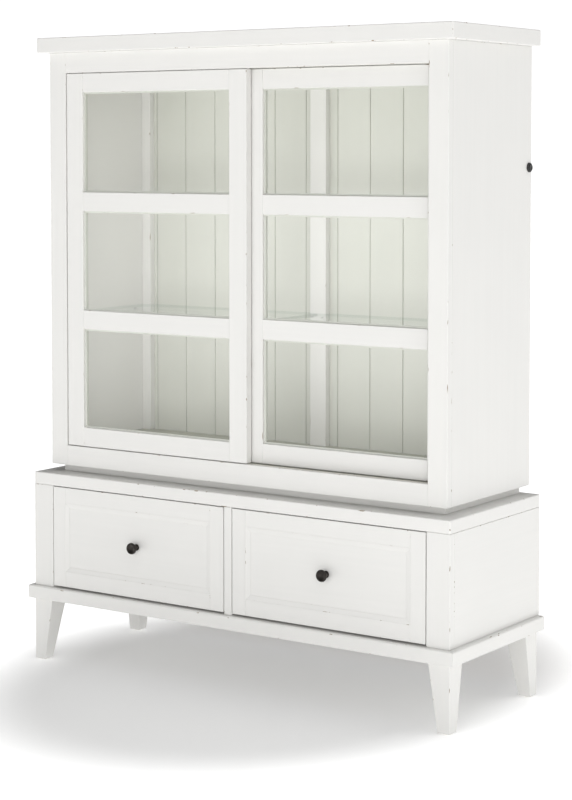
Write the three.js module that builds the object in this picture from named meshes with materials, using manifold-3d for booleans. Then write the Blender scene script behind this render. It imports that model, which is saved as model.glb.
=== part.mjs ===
// China cabinet: a glazed hutch with two bypass sliding doors, standing on a base with two
// drawers and four tapered legs.
// Millimetres, +X to the right, +Y to the back, +Z up. The origin is on the floor, under the
// middle of the whole cabinet with its knobs.
import * as THREE from 'three';
import { mergeVertices } from 'three/addons/utils/BufferGeometryUtils.js';
import Module from 'manifold-3d';

const wasm = await Module();
wasm.setup();

// ---- driving dimensions -------------------------------------------------------------------
const FIT = 0.25;                   // gap left round a part let into its neighbour
const OVERSHOOT = 1;                // how far a cutter runs past the face it opens

const KNOB_RISE = 25.5;              // knob, from the drawer panel to its crown
const PANEL_RECESS = 2.5;           // drawer panel, behind the drawer frame's face
const LOWER_STEP = 37;              // lower cabinet's face, ahead of the hutch's face
const HUTCH_DEPTH = 412;            // hutch, face to back
const BACK = (HUTCH_DEPTH + LOWER_STEP + KNOB_RISE - PANEL_RECESS) / 2;
const HUTCH_FACE = BACK - HUTCH_DEPTH;
const LOWER_FACE = HUTCH_FACE - LOWER_STEP;

const LEG_HEIGHT = 168.5;           // floor to the base moulding
const LEG_TOP = 60;                 // leg's square section under the moulding
const LEG_FOOT = 33;                // leg's square section at the floor
const LEG_BACK_INSET = 12;          // rear legs, in from the back
const GLIDE_RADIUS = 11;
const GLIDE_THICK = 3;

const MOULDING_TOP = 204;
const MOULDING_STEP = 12;           // moulding's face, ahead of the lower cabinet's face
const MOULDING_HALF = 660;          // half the moulding's width, the cabinet's widest part
const BOTTOM_THICK = 12;

const LOWER_HALF = 645;             // half the lower cabinet's width
const LOWER_TOP = 511;
const LOWER_BOARD = 33;             // thickness of the lower cabinet's top board
const LOWER_STILE = 64.5;
const LOWER_SIDE = 18;
const DIVIDER_HALF = 11.5;
const LOWER_BACK_THICK = 8;
const LOWER_BACK_INSET = 4;

const FRAME_THICK = 20;             // face frames of both cabinets, and the drawer frames

const PLINTH_INSET = 20;            // plinth, in from the hutch's sides
const PLINTH_SETBACK = 29;          // plinth, behind the hutch's face
const PLINTH_BACK_INSET = 15;
const PLINTH_WALL = 18;

const HUTCH_HALF = 615;             // half the hutch's width
const HUTCH_BOTTOM = 530.5;
const HUTCH_TOP = 1634;
const HUTCH_SIDE = 16;
const HUTCH_STILE = 54;
const HUTCH_FLOOR = 584;            // top of the hutch's floor board and of its bottom rail
const HUTCH_CEILING = 1580;         // underside of the ceiling board and of the top rail
const HUTCH_BOARD = 20;
const CROWN_THICK = 40;
const CROWN_SIDE = 25;              // crown's overhang at each side
const CROWN_FRONT = 24;

const BACK_PANEL_THICK = 12;
const BACK_PANEL_INSET = 10;        // panel's rear face, in from the sides' rear edges
const BEAD_PITCH = 101.6;           // beadboard, groove to groove
const BEAD_HALF = 1.6;              // half the groove's width
const BEAD_DEPTH = 5;
const BEADS = 12;
const BACK_STILE_THICK = 19;
const BACK_STILE_HALF = 25;         // half the middle stile's width
const CORNER_STILE = 29;

const POST_HALF = 18;               // square post behind the doors' meeting stiles
const POST_SETBACK = 63;            // its front face, behind the hutch's face

const SHELF_TOPS = { lower: 940, upper: 1261 };
const SHELF_THICK = 8;
const SHELF_FRONT_GAP = 2;          // glass, behind the post
const SHELF_CLEAR = 1.5;            // glass, from the sides and from the stiles it is notched round
const SHELF_SEAM = 1;               // between the two panes of one shelf

const DOOR_THICK = 21;
const DOOR_WIDTH = 589;
const DOOR_STILE = 54;
const DOOR_RAIL = 50;
const DOOR_PANES = 3;
const DOOR_GAP = 2;                 // above and below a door, and beside the right door
const LEFT_DOOR_GAP = 2.5;          // beside the left door's outer stile
const DOOR_SETBACK = [2.5, 28];     // left and right door's face, behind the hutch's face
const GLASS_THICK = 4;
const GLASS_SETBACK = 3;            // door panes, behind the door's face
const TONGUE_THICK = 4.5;           // tongue along a door's top edge
const TONGUE_HEIGHT = 7;

const GROOVE_WIDTH = 8;
const TOP_GROOVE = 9;
const BOTTOM_GROOVE = 6;

const WHEEL_RADIUS = 10;
const WHEEL_THICK = 4.5;
const WHEEL_INSET = 84;             // from the door's edge to the wheel's centre
const WHEEL_RIDE = 1.5;             // from the groove's bed to the wheel, for the track's lining
const STUB_RADIUS = 1.5;
const STUB_REACH = 5.5;             // from the wheel's middle to the end of its stub axle
const POCKET_WIDTH = 24;
const POCKET_THICK = 7;
const POCKET_HEIGHT = 16;

const DRAWER_SIDE_GAP = 2.5;
const DRAWER_TOP_GAP = 2;
const DRAWER_BOTTOM_GAP = 5;
const DRAWER_MEMBER = 42;           // flat face of the drawer frame
const CHAMFER_WIDTH = 12;           // sloped inner edge of the drawer frame
const CHAMFER_DEPTH = 2;
const PANEL_THICK = 8;
const PANEL_LAP = 10;               // panel, behind the sloped edge
const BOX_WALL = 12;
const BOX_DEPTH = 380;
const BOX_HEIGHT = 200;
const BOX_LIFT = 22;                // drawer box, above the drawer opening's sill
const BOX_FLOOR_THICK = 6;

const RUNNER_SPACE = 13;            // between the drawer box and each side of its opening
const RUNNER_LIFT = 126;            // runner's middle, above the drawer opening's sill
const RUNNER_SHEET = 1.2;
const RUNNER_WEB = 3;               // middle member's web, from the side of the drawer opening
const RUNNER_REACH = 10.5;          // its flanges' edges, from the same side
const RUNNER_HALF = 17;             // half its height

const SWITCH_FROM_BACK = 13;
const SWITCH_HEIGHT = 1332;
const LIGHT_SPACING = 300;          // each light, from the middle of the cabinet
// Turned outlines, as [radius, height] from the face that the part stands on.
const KNOB_OUTLINE = [
  [0, 0], [9, 0], [9, 2.5], [5.5, 5.5], [5, 9.5], [7, 13],
  [13, 15.5], [15, 18.5], [14, 22.5], [11, KNOB_RISE], [0, KNOB_RISE],
];
const LIGHT_OUTLINE = [[0, -12], [29, -12], [33, -9], [33, 0], [0, 0]];
const SWITCH_OUTLINE = [[0, 0], [12, 0], [12, 4], [10.5, 6], [7, 7], [0, 7]];
const GROMMET = { x: 500, bore: 7, neck: 10.75, hole: 11, flange: 15, lip: 2.5 };

const SEGMENTS = 32;                // sides of a turned part

// ---- finishes -----------------------------------------------------------------------------
const finish = (color, roughness, metalness = 0) => ({ color, roughness, metalness });
const WHITE_PAINT = finish(0xeeede9, 0.5);
const SAGE_PAINT = finish(0xc8cac1, 0.6);
const BARE_WOOD = finish(0xd9c39a, 0.6);
const GLASS = finish(0xdfe9e6, 0.05);
const BRONZE = finish(0x2d2e2b, 0.4, 0.8);
const STEEL = finish(0xb8babb, 0.35, 1);
const NYLON = finish(0xe8e6df, 0.4);
const BLACK_PLASTIC = finish(0x1c1c1c, 0.45);

// ---- shape helpers ------------------------------------------------------------------------
const SIDES = [{ side: 'left', sign: -1 }, { side: 'right', sign: 1 }];
const [X, Y, Z] = [new THREE.Vector3(1, 0, 0), new THREE.Vector3(0, 1, 0), new THREE.Vector3(0, 0, 1)];
// An outline for a prism along x is drawn in (y, z), along y in (z, x) and along z in (x, y).
const ALONG = {
  x: new THREE.Matrix4().makeBasis(Y, Z, X),
  y: new THREE.Matrix4().makeBasis(Z, X, Y),
  z: new THREE.Matrix4(),
};

/** The span from inner to outer on one side of the middle, lowest end first. */
const spanOn = (sign, inner, outer) => (sign < 0 ? [-outer, -inner] : [inner, outer]);
const both = (half) => [-half, half];
const middle = ([low, high]) => (low + high) / 2;
const length = ([low, high]) => high - low;
const rectangle = ([u0, u1], [v0, v1]) => [[u0, v0], [u1, v0], [u1, v1], [u0, v1]];

function block(x, y, z) {
  return new THREE.BoxGeometry(length(x), length(y), length(z)).translate(middle(x), middle(y), middle(z));
}

function prism(axis, outline, [from, to], hole = null) {
  const vectors = (points) => points.map(([u, v]) => new THREE.Vector2(u, v));
  const shape = new THREE.Shape(vectors(outline));
  if (hole) shape.holes.push(new THREE.Path(vectors(hole)));
  return new THREE.ExtrudeGeometry(shape, { depth: to - from, bevelEnabled: false })
    .translate(0, 0, from)
    .applyMatrix4(ALONG[axis]);
}

/** A turned part from [radius, height] points; its axis is local Y. */
function turned(profile) {
  return new THREE.LatheGeometry(profile.map(([r, h]) => new THREE.Vector2(r, h)), SEGMENTS);
}

function toSolid(geometry) {
  const bare = geometry.clone();
  bare.deleteAttribute('normal');
  bare.deleteAttribute('uv');
  const merged = mergeVertices(bare);
  return new wasm.Manifold(new wasm.Mesh({
    numProp: 3,
    vertProperties: new Float32Array(merged.attributes.position.array),
    triVerts: new Uint32Array(merged.index.array),
  }));
}

/** One geometry: the pieces joined together, less the cutters. */
function carved(pieces, cutters = []) {
  let solid = toSolid(pieces[0]);
  for (const piece of pieces.slice(1)) solid = solid.add(toSolid(piece));
  for (const cutter of cutters) solid = solid.subtract(toSolid(cutter));
  const mesh = solid.getMesh();
  const result = new THREE.BufferGeometry();
  result.setAttribute('position', new THREE.BufferAttribute(mesh.vertProperties, 3));
  result.setIndex(new THREE.BufferAttribute(mesh.triVerts, 1));
  return result;
}

function part(group, name, surface, geometry, position = [0, 0, 0]) {
  const mesh = new THREE.Mesh(geometry, new THREE.MeshStandardMaterial(surface));
  mesh.name = name;
  mesh.position.set(...position);
  group.add(mesh);
  return mesh;
}

/** A plain board filling the three spans. */
function board(group, name, surface, x, y, z) {
  const geometry = new THREE.BoxGeometry(length(x), length(y), length(z));
  return part(group, name, surface, geometry, [middle(x), middle(y), middle(z)]);
}

/** Outline in (y, z) of a bar with one groove of a given depth, in its top or under it. */
function groovedBar(y, z, grooveMiddle, grooveDepth, onTop) {
  const [g0, g1] = [grooveMiddle - GROOVE_WIDTH / 2, grooveMiddle + GROOVE_WIDTH / 2];
  const [face, bed, far] = onTop ? [z[1], z[1] - grooveDepth, z[0]] : [z[0], z[0] + grooveDepth, z[1]];
  return [
    [y[0], far], [y[0], face], [g0, face], [g0, bed], [g1, bed], [g1, face], [y[1], face], [y[1], far],
  ];
}

// ---- places shared by more than one sub-assembly ------------------------------------------
const faceFrame = [HUTCH_FACE, HUTCH_FACE + FRAME_THICK];
const backPanel = [BACK - BACK_PANEL_INSET - BACK_PANEL_THICK, BACK - BACK_PANEL_INSET];
const behindFrame = [faceFrame[1], backPanel[0]];
const insideHalf = HUTCH_HALF - HUTCH_SIDE;
const frameOpening = HUTCH_HALF - HUTCH_STILE;
const trackMiddles = DOOR_SETBACK.map((setback) => HUTCH_FACE + setback + DOOR_THICK / 2);
const trackBed = HUTCH_FLOOR - BOTTOM_GROOVE;
const sill = MOULDING_TOP;
const lintel = LOWER_TOP - LOWER_BOARD;
const drawerOpening = [DIVIDER_HALF, LOWER_HALF - LOWER_STILE];
const runnerLine = sill + RUNNER_LIFT;
const lowerFrame = [LOWER_FACE, LOWER_FACE + FRAME_THICK];
const boxSpan = [lowerFrame[1], lowerFrame[1] + BOX_DEPTH];
const legBack = BACK - LEG_BACK_INSET;
const doorLefts = [-frameOpening + LEFT_DOOR_GAP, insideHalf - DOOR_GAP - DOOR_WIDTH];

// ---- legs and base moulding ---------------------------------------------------------------
function makeLegs(group) {
  const height = LEG_HEIGHT - GLIDE_THICK;
  const lean = (LEG_TOP - LEG_FOOT) / 2 / height;
  const inset = (LEG_TOP + LEG_FOOT) / 4;
  for (const [end, signY, face] of [['front', -1, LOWER_FACE], ['back', 1, legBack]]) {
    for (const { side, sign } of SIDES) {
      // A square frustum, sheared so that its two outer faces stand upright.
      const leg = new THREE.CylinderGeometry(LEG_TOP / Math.SQRT2, LEG_FOOT / Math.SQRT2, height, 4)
        .rotateY(Math.PI / 4)
        .rotateX(Math.PI / 2)
        .applyMatrix4(new THREE.Matrix4().makeShear(0, 0, 0, 0, -sign * lean, -signY * lean));
      const glide = new THREE.CylinderGeometry(GLIDE_RADIUS, GLIDE_RADIUS, 2 * GLIDE_THICK, SEGMENTS)
        .rotateX(Math.PI / 2)
        .translate(sign * (inset - LEG_FOOT / 2), signY * (inset - LEG_FOOT / 2), -height / 2);
      const place = [sign * (LOWER_HALF - inset), face - signY * inset, LEG_HEIGHT - height / 2];
      part(group, `leg_${end}_${side}`, WHITE_PAINT, carved([leg, glide]), place);
    }
  }
}

function makeMoulding(group) {
  const height = [LEG_HEIGHT, MOULDING_TOP];
  const outside = [both(MOULDING_HALF), [LOWER_FACE - MOULDING_STEP, BACK]];
  const inside = [both(LOWER_HALF - LEG_TOP), [LOWER_FACE + LEG_TOP, legBack - LEG_TOP]];
  part(group, 'base_moulding', WHITE_PAINT, prism('z', rectangle(...outside), height, rectangle(...inside)));
  board(group, 'base_bottom', WHITE_PAINT, ...inside, [MOULDING_TOP - BOTTOM_THICK, MOULDING_TOP]);
}

// ---- lower cabinet ------------------------------------------------------------------------
function makeLowerCase(group) {
  const height = [sill, lintel];
  const backSpan = [BACK - LOWER_BACK_INSET - LOWER_BACK_THICK, BACK - LOWER_BACK_INSET];
  board(group, 'base_top', WHITE_PAINT, both(LOWER_HALF), [LOWER_FACE, BACK], [lintel, LOWER_TOP]);
  for (const { side, sign } of SIDES) {
    const stile = spanOn(sign, LOWER_HALF - LOWER_STILE, LOWER_HALF);
    board(group, `base_stile_${side}`, WHITE_PAINT, stile, lowerFrame, height);
    const panel = spanOn(sign, LOWER_HALF - LOWER_SIDE, LOWER_HALF);
    board(group, `base_side_${side}`, WHITE_PAINT, panel, [lowerFrame[1], BACK], height);
  }
  board(group, 'base_divider', WHITE_PAINT, both(DIVIDER_HALF), [LOWER_FACE, backSpan[0]], height);
  board(group, 'base_back', BARE_WOOD, both(LOWER_HALF - LOWER_SIDE), backSpan, height);
}

// ---- drawers ------------------------------------------------------------------------------
/** A telescopic runner's middle member, a C section open away from the wall it runs along. */
function runnerMiddle(wall, facing) {
  const inner = RUNNER_WEB + RUNNER_SHEET;
  const lip = RUNNER_HALF - RUNNER_SHEET;
  const section = [
    [-RUNNER_HALF, RUNNER_REACH], [-RUNNER_HALF, RUNNER_WEB], [RUNNER_HALF, RUNNER_WEB],
    [RUNNER_HALF, RUNNER_REACH], [lip, RUNNER_REACH], [lip, inner], [-lip, inner], [-lip, RUNNER_REACH],
  ].map(([z, x]) => [runnerLine + z, wall + facing * x]);
  return prism('y', section, boxSpan);
}

function makeDrawer(group, side, sign) {
  const front = spanOn(sign, drawerOpening[0] + DRAWER_SIDE_GAP, drawerOpening[1] - DRAWER_SIDE_GAP);
  const height = [sill + DRAWER_BOTTOM_GAP, lintel - DRAWER_TOP_GAP];
  const inset = ([low, high], by) => [low + by, high - by];
  const window = [inset(front, DRAWER_MEMBER + CHAMFER_WIDTH), inset(height, DRAWER_MEMBER + CHAMFER_WIDTH)];
  const rebate = [inset(window[0], -PANEL_LAP), inset(window[1], -PANEL_LAP)];
  const panelFace = LOWER_FACE + PANEL_RECESS;

  // The frame is a board less a cutter that widens towards the face, and less the panel's rebate.
  const cutter = new THREE.ExtrudeGeometry(
    new THREE.Shape(rectangle(both(length(window[0]) / 2), both(length(window[1]) / 2))
      .map(([u, v]) => new THREE.Vector2(u, v))),
    { depth: CHAMFER_DEPTH, bevelThickness: CHAMFER_DEPTH, bevelSize: CHAMFER_WIDTH, bevelSegments: 1 },
  ).rotateX(Math.PI / 2).translate(middle(window[0]), LOWER_FACE, middle(window[1]));
  const through = block(window[0], [LOWER_FACE, lowerFrame[1] + OVERSHOOT], window[1]);
  const rear = block(rebate[0], [panelFace, lowerFrame[1] + OVERSHOOT], rebate[1]);
  const frame = carved([block(front, lowerFrame, height)], [cutter, through, rear]);
  part(group, `${side}_drawer_frame`, WHITE_PAINT, frame);
  board(group, `${side}_drawer_panel`, WHITE_PAINT, inset(rebate[0], FIT),
    [panelFace + FIT, panelFace + FIT + PANEL_THICK], inset(rebate[1], FIT));

  const box = spanOn(sign, drawerOpening[0] + RUNNER_SPACE, drawerOpening[1] - RUNNER_SPACE);
  const lift = sill + BOX_LIFT;
  const hollow = block(inset(box, BOX_WALL), inset(boxSpan, BOX_WALL),
    [lift + BOX_FLOOR_THICK, lift + BOX_HEIGHT + OVERSHOOT]);
  part(group, `${side}_drawer_box`, BARE_WOOD,
    carved([block(box, boxSpan, [lift, lift + BOX_HEIGHT])], [hollow]));

  const knob = turned(KNOB_OUTLINE).rotateX(Math.PI);
  part(group, `${side}_knob`, BRONZE, knob, [middle(front), panelFace, middle(height)]);

  part(group, `${side}_runner_outer`, STEEL, runnerMiddle(sign * drawerOpening[1], -sign));
  part(group, `${side}_runner_inner`, STEEL, runnerMiddle(sign * drawerOpening[0], sign));
}

// ---- hutch --------------------------------------------------------------------------------
function makePlinth(group) {
  const depth = [HUTCH_FACE + PLINTH_SETBACK, BACK - PLINTH_BACK_INSET];
  const outside = [both(HUTCH_HALF - PLINTH_INSET), depth];
  const inside = outside.map(([low, high]) => [low + PLINTH_WALL, high - PLINTH_WALL]);
  part(group, 'hutch_plinth', WHITE_PAINT,
    prism('z', rectangle(...outside), [LOWER_TOP, HUTCH_FLOOR - HUTCH_BOARD], rectangle(...inside)));
}

function makeHutchCase(group) {
  for (const { side, sign } of SIDES) {
    const height = [HUTCH_BOTTOM, HUTCH_TOP];
    board(group, `hutch_stile_${side}`, WHITE_PAINT,
      spanOn(sign, frameOpening, HUTCH_HALF), faceFrame, height);
    board(group, `hutch_side_${side}`, WHITE_PAINT, spanOn(sign, insideHalf, HUTCH_HALF),
      [faceFrame[1], BACK], height);
  }
  const [frontTrack, rearTrack] = trackMiddles;
  const opening = both(frameOpening);
  part(group, 'hutch_rail_bottom', WHITE_PAINT, prism('x',
    groovedBar(faceFrame, [HUTCH_BOTTOM, HUTCH_FLOOR], frontTrack, BOTTOM_GROOVE, true), opening));
  part(group, 'hutch_rail_top', WHITE_PAINT, prism('x',
    groovedBar(faceFrame, [HUTCH_CEILING, HUTCH_TOP], frontTrack, TOP_GROOVE, false), opening));
  part(group, 'hutch_floor', SAGE_PAINT, prism('x',
    groovedBar(behindFrame, [HUTCH_FLOOR - HUTCH_BOARD, HUTCH_FLOOR], rearTrack, BOTTOM_GROOVE, true),
    both(insideHalf)));
  part(group, 'hutch_ceiling', SAGE_PAINT, prism('x',
    groovedBar(behindFrame, [HUTCH_CEILING, HUTCH_CEILING + HUTCH_BOARD], rearTrack, TOP_GROOVE, false),
    both(insideHalf)));
  board(group, 'crown_top', WHITE_PAINT, both(HUTCH_HALF + CROWN_SIDE), [HUTCH_FACE - CROWN_FRONT, BACK],
    [HUTCH_TOP, HUTCH_TOP + CROWN_THICK]);
}

/** The beadboard back, with a V groove every pitch across its front. */
function beadboard() {
  const [front, rear] = backPanel;
  const half = insideHalf - FIT;
  const grooves = Array.from({ length: BEADS }, (_, i) => (i + 0.5 - BEADS / 2) * BEAD_PITCH);
  const notches = grooves.flatMap((at) => [
    [at - BEAD_HALF, front], [at, front + BEAD_DEPTH], [at + BEAD_HALF, front],
  ]);
  const outline = [[-half, front], ...notches, [half, front], [half, rear], [-half, rear]];
  return prism('z', outline, [HUTCH_FLOOR - HUTCH_BOARD, HUTCH_TOP]);
}

function makeBack(group) {
  const outletHeight = (HUTCH_CEILING + HUTCH_BOARD + HUTCH_TOP) / 2;
  const drilled = BACK_PANEL_THICK + 2 * OVERSHOOT;
  const outlet = new THREE.CylinderGeometry(GROMMET.hole, GROMMET.hole, drilled, SEGMENTS)
    .translate(GROMMET.x, middle(backPanel), outletHeight);
  part(group, 'back_panel', SAGE_PAINT, carved([beadboard()], [outlet]));
  const grommet = turned([
    [GROMMET.bore, -BACK_PANEL_THICK], [GROMMET.neck, -BACK_PANEL_THICK], [GROMMET.neck, FIT],
    [GROMMET.flange, FIT], [GROMMET.flange, GROMMET.lip], [GROMMET.bore, GROMMET.lip],
    [GROMMET.bore, -BACK_PANEL_THICK],
  ]);
  part(group, 'cord_grommet', BLACK_PLASTIC, grommet, [GROMMET.x, backPanel[1], outletHeight]);

  const height = [HUTCH_FLOOR, HUTCH_CEILING];
  const depth = [backPanel[0] - BACK_STILE_THICK, backPanel[0]];
  board(group, 'back_stile_center', WHITE_PAINT, both(BACK_STILE_HALF), depth, height);
  for (const { side, sign } of SIDES) {
    const corner = spanOn(sign, insideHalf - CORNER_STILE, insideHalf);
    board(group, `back_stile_${side}`, WHITE_PAINT, corner, depth, height);
  }
}

function makeShelves(group) {
  const postFront = HUTCH_FACE + POST_SETBACK;
  const post = [postFront, postFront + 2 * POST_HALF];
  board(group, 'center_post', SAGE_PAINT, both(POST_HALF), post, [HUTCH_FLOOR, HUTCH_CEILING]);

  const stileFace = backPanel[0] - BACK_STILE_THICK;
  const [front, rear] = [post[1] + SHELF_FRONT_GAP, backPanel[0] - SHELF_CLEAR];
  const notch = stileFace - SHELF_CLEAR;
  const inner = SHELF_SEAM / 2;
  const outer = insideHalf - SHELF_CLEAR;
  const [beside, before] = [BACK_STILE_HALF + SHELF_CLEAR, insideHalf - CORNER_STILE - SHELF_CLEAR];
  // Each pane is notched at its two rear corners, round the middle stile and the corner stile.
  const pane = [
    [inner, front], [outer, front], [outer, notch], [before, notch],
    [before, rear], [beside, rear], [beside, notch], [inner, notch],
  ];
  for (const [level, top] of Object.entries(SHELF_TOPS)) {
    for (const { side, sign } of SIDES) {
      const outline = pane.map(([x, y]) => [sign * x, y]);
      part(group, `glass_shelf_${level}_${side}`, GLASS, prism('z', outline, [top - SHELF_THICK, top]));
    }
  }
}

function makeLights(group) {
  const body = turned(LIGHT_OUTLINE).rotateX(Math.PI / 2);
  for (const { side, sign } of SIDES) {
    const place = [sign * LIGHT_SPACING, middle(behindFrame), HUTCH_CEILING - FIT];
    part(group, `puck_light_${side}`, BRONZE, body, place);
  }
  const button = turned(SWITCH_OUTLINE).rotateZ(-Math.PI / 2);
  part(group, 'light_switch', BLACK_PLASTIC, button,
    [HUTCH_HALF + FIT, BACK - SWITCH_FROM_BACK, SWITCH_HEIGHT]);
}

// ---- sliding doors ------------------------------------------------------------------------
/** One door, drawn from its own lower left front corner. */
function makeDoor(group, side, left, setback) {
  const door = new THREE.Group();
  door.position.set(left, HUTCH_FACE + setback, HUTCH_FLOOR + DOOR_GAP);
  group.add(door);

  const height = HUTCH_CEILING - HUTCH_FLOOR - 2 * DOOR_GAP;
  const core = DOOR_THICK / 2;
  const tongue = [core - TONGUE_THICK / 2, core + TONGUE_THICK / 2];
  const tongued = (bottom) => [
    [0, bottom], [DOOR_THICK, bottom], [DOOR_THICK, height], [tongue[1], height],
    [tongue[1], height + TONGUE_HEIGHT], [tongue[0], height + TONGUE_HEIGHT],
    [tongue[0], height], [0, height],
  ];
  const between = [DOOR_STILE, DOOR_WIDTH - DOOR_STILE];
  const stiles = [[0, between[0]], [between[1], DOOR_WIDTH]].map((x) => prism('x', tongued(0), x));
  const pane = (height - (DOOR_PANES + 1) * DOOR_RAIL) / DOOR_PANES;
  const railAt = (i) => [i * (pane + DOOR_RAIL), i * (pane + DOOR_RAIL) + DOOR_RAIL];
  const lowerRails = Array.from({ length: DOOR_PANES }, (_, i) => (
    block(between, [0, DOOR_THICK], railAt(i))));
  const topRail = prism('x', tongued(railAt(DOOR_PANES)[0]), between);
  const wheelHeight = trackBed + WHEEL_RIDE + WHEEL_RADIUS - door.position.z;
  const wheels = [WHEEL_INSET, DOOR_WIDTH - WHEEL_INSET];
  // The bottom rail is pocketed for each wheel and bored for its stub axle.
  const pockets = wheels.flatMap((x) => [
    block([x - POCKET_WIDTH / 2, x + POCKET_WIDTH / 2],
      [core - POCKET_THICK / 2, core + POCKET_THICK / 2], [-OVERSHOOT, POCKET_HEIGHT]),
    new THREE.CylinderGeometry(STUB_RADIUS + FIT, STUB_RADIUS + FIT, 2 * (STUB_REACH + FIT), SEGMENTS)
      .translate(x, core, wheelHeight),
  ]);
  part(door, `${side}_door_frame`, WHITE_PAINT, carved([...stiles, ...lowerRails, topRail], pockets));

  for (let i = 0; i < DOOR_PANES; i += 1) {
    board(door, `${side}_door_pane_${i + 1}`, GLASS, [between[0] + FIT, between[1] - FIT],
      [GLASS_SETBACK, GLASS_SETBACK + GLASS_THICK], [railAt(i)[1] + FIT, railAt(i + 1)[0] - FIT]);
  }

  const half = WHEEL_THICK / 2;
  wheels.forEach((x, i) => {
    const wheel = turned([
      [0, -STUB_REACH], [STUB_RADIUS, -STUB_REACH], [STUB_RADIUS, -half], [WHEEL_RADIUS, -half],
      [WHEEL_RADIUS, half], [STUB_RADIUS, half], [STUB_RADIUS, STUB_REACH], [0, STUB_REACH],
    ]);
    part(door, `${side}_door_wheel_${i + 1}`, NYLON, wheel, [x, core, wheelHeight]);
  });
}

// ---- the whole cabinet --------------------------------------------------------------------
const cabinet = new THREE.Group();
makeLegs(cabinet);
makeMoulding(cabinet);
makeLowerCase(cabinet);
makePlinth(cabinet);
makeHutchCase(cabinet);
makeBack(cabinet);
makeShelves(cabinet);
makeLights(cabinet);
for (const { side, sign } of SIDES) makeDrawer(cabinet, side, sign);
SIDES.forEach(({ side }, i) => makeDoor(cabinet, side, doorLefts[i], DOOR_SETBACK[i]));

export default cabinet;
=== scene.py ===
"""Dresses the china cabinet: painted boards, glazed sliding doors, drawers and their fittings.

Sizes are in metres in the cabinet's own frame: X to the right, Y to the back and Z up, from the
floor under its middle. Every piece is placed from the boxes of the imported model's nodes.
"""

import logging
import math
from dataclasses import dataclass, field
from enum import Enum
from typing import Callable, Sequence, Union

import bpy
import numpy as np
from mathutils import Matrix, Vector


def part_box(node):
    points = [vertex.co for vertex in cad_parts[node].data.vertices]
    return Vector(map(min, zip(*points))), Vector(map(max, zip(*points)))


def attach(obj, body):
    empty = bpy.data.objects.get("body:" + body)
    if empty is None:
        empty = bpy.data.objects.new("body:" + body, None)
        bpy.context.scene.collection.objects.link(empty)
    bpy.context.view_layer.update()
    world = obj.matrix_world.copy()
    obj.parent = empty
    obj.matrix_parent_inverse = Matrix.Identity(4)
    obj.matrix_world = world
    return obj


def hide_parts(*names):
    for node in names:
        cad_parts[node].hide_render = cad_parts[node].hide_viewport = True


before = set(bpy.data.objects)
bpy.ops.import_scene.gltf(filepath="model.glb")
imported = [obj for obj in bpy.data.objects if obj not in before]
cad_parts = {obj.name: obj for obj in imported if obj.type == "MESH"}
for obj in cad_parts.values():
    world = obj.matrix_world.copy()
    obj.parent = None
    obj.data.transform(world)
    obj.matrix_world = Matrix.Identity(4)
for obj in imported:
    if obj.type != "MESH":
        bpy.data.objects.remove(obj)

log = logging.getLogger("china_cabinet")

Array = np.ndarray
Span = tuple[float, float]
Colour = tuple[float, float, float]
Point = tuple[float, float, float]
Outline = tuple[Span, ...]
Socket = bpy.types.NodeSocket
Value = Union[Socket, float, Colour, Vector]

SIDES: tuple[tuple[str, int], ...] = (("left", -1), ("right", 1))
CABINET = "cabinet"

AXES = np.eye(3)
EASE = 0.0012
FINE_EASE = 0.0003
HAIR = 0.0001
CORE = 0.001
EVEN: Point = (1.0, 1.0, 1.0)
MOST: Span = (0.3, 0.7)

# Turned outlines, as (radius, height) unless a line says otherwise.
# A screw's head: shares of its radius.
SCREW_HEAD: Outline = (
    (1.0, 0.0), (1.0, 0.0006), (0.8, 0.0013), (0.45, 0.0015), (0.3, 0.0009), (0.05, 0.0008),
)
# A shelf pin's tip: shares of its radius, and distances from its end.
PIN_TIP: Outline = ((1.0, 0.0012), (0.7, 0.0003), (0.1, 0.0))
# The lights and the switch: how far past the outer radius, and shares of the height.
LIGHT_BODY: Outline = ((0.0, 0.0), (0.0, 0.3), (-0.001, 0.8), (-0.004, 1.0))
LIGHT_LIP: Outline = ((0.0008, 1.0), (0.0, 0.93), (0.0, 0.8))
LENS_EDGE: Outline = ((-0.0003, 0.82), (-0.0003, 0.88))
SWITCH_COLLAR: Outline = (
    (-0.0001, 0.0), (0.0, 0.1), (0.0, 0.4), (-0.0008, 0.62), (-0.0026, 0.68), (-0.0031, 0.5),
    (-0.0032, 0.2),
)
SWITCH_BUTTON: Outline = ((-0.0036, 0.22), (-0.0036, 0.8), (-0.0046, 1.0), (-0.0066, 0.98))
# Half a door wheel, from its bore out: heights past the side of its tread.
WHEEL_BORE = 0.0015
WHEEL_HUB: Outline = (
    (WHEEL_BORE, 0.0008), (0.0035, 0.0008), (0.004, -0.0005), (0.0065, -0.0007), (0.0072, 0.0),
)
# A knob: its stem, its head's edge past the head's radius, and its dish down from the crown.
KNOB_STEM: Outline = (
    (0.0084, 0.0), (0.0086, 0.0002), (0.0086, 0.0022), (0.007, 0.0034), (0.005, 0.0058),
    (0.0046, 0.0095), (0.006, 0.0128), (0.0112, 0.0152),
)
KNOB_EDGE: Outline = ((-0.0006, 0.0186), (0.0002, 0.0214))
KNOB_DISH: Outline = ((0.0122, 0.0), (0.0104, 0.0008), (0.006, 0.0026), (0.0003, 0.0032))
# A leg's glide, up to its shoulder.
GLIDE_RADIUS = 0.011
GLIDE_FOOT: Outline = ((0.0005, 0.0), (0.008, 0.0), (0.0105, 0.0006), (GLIDE_RADIUS, 0.002))


class Run(Enum):
    """The direction that a board or a turned part runs in."""

    ACROSS = 0
    DEEP = 1
    UPRIGHT = 2


class Slot(Enum):
    """The record's material slots."""

    WHITE = "white_paint"
    SAGE = "sage_paint"
    WOOD = "bare_wood"
    GLASS = "glass"
    BRONZE = "bronze"
    STEEL = "steel"
    NYLON = "nylon"
    BLACK = "black_plastic"


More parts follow.
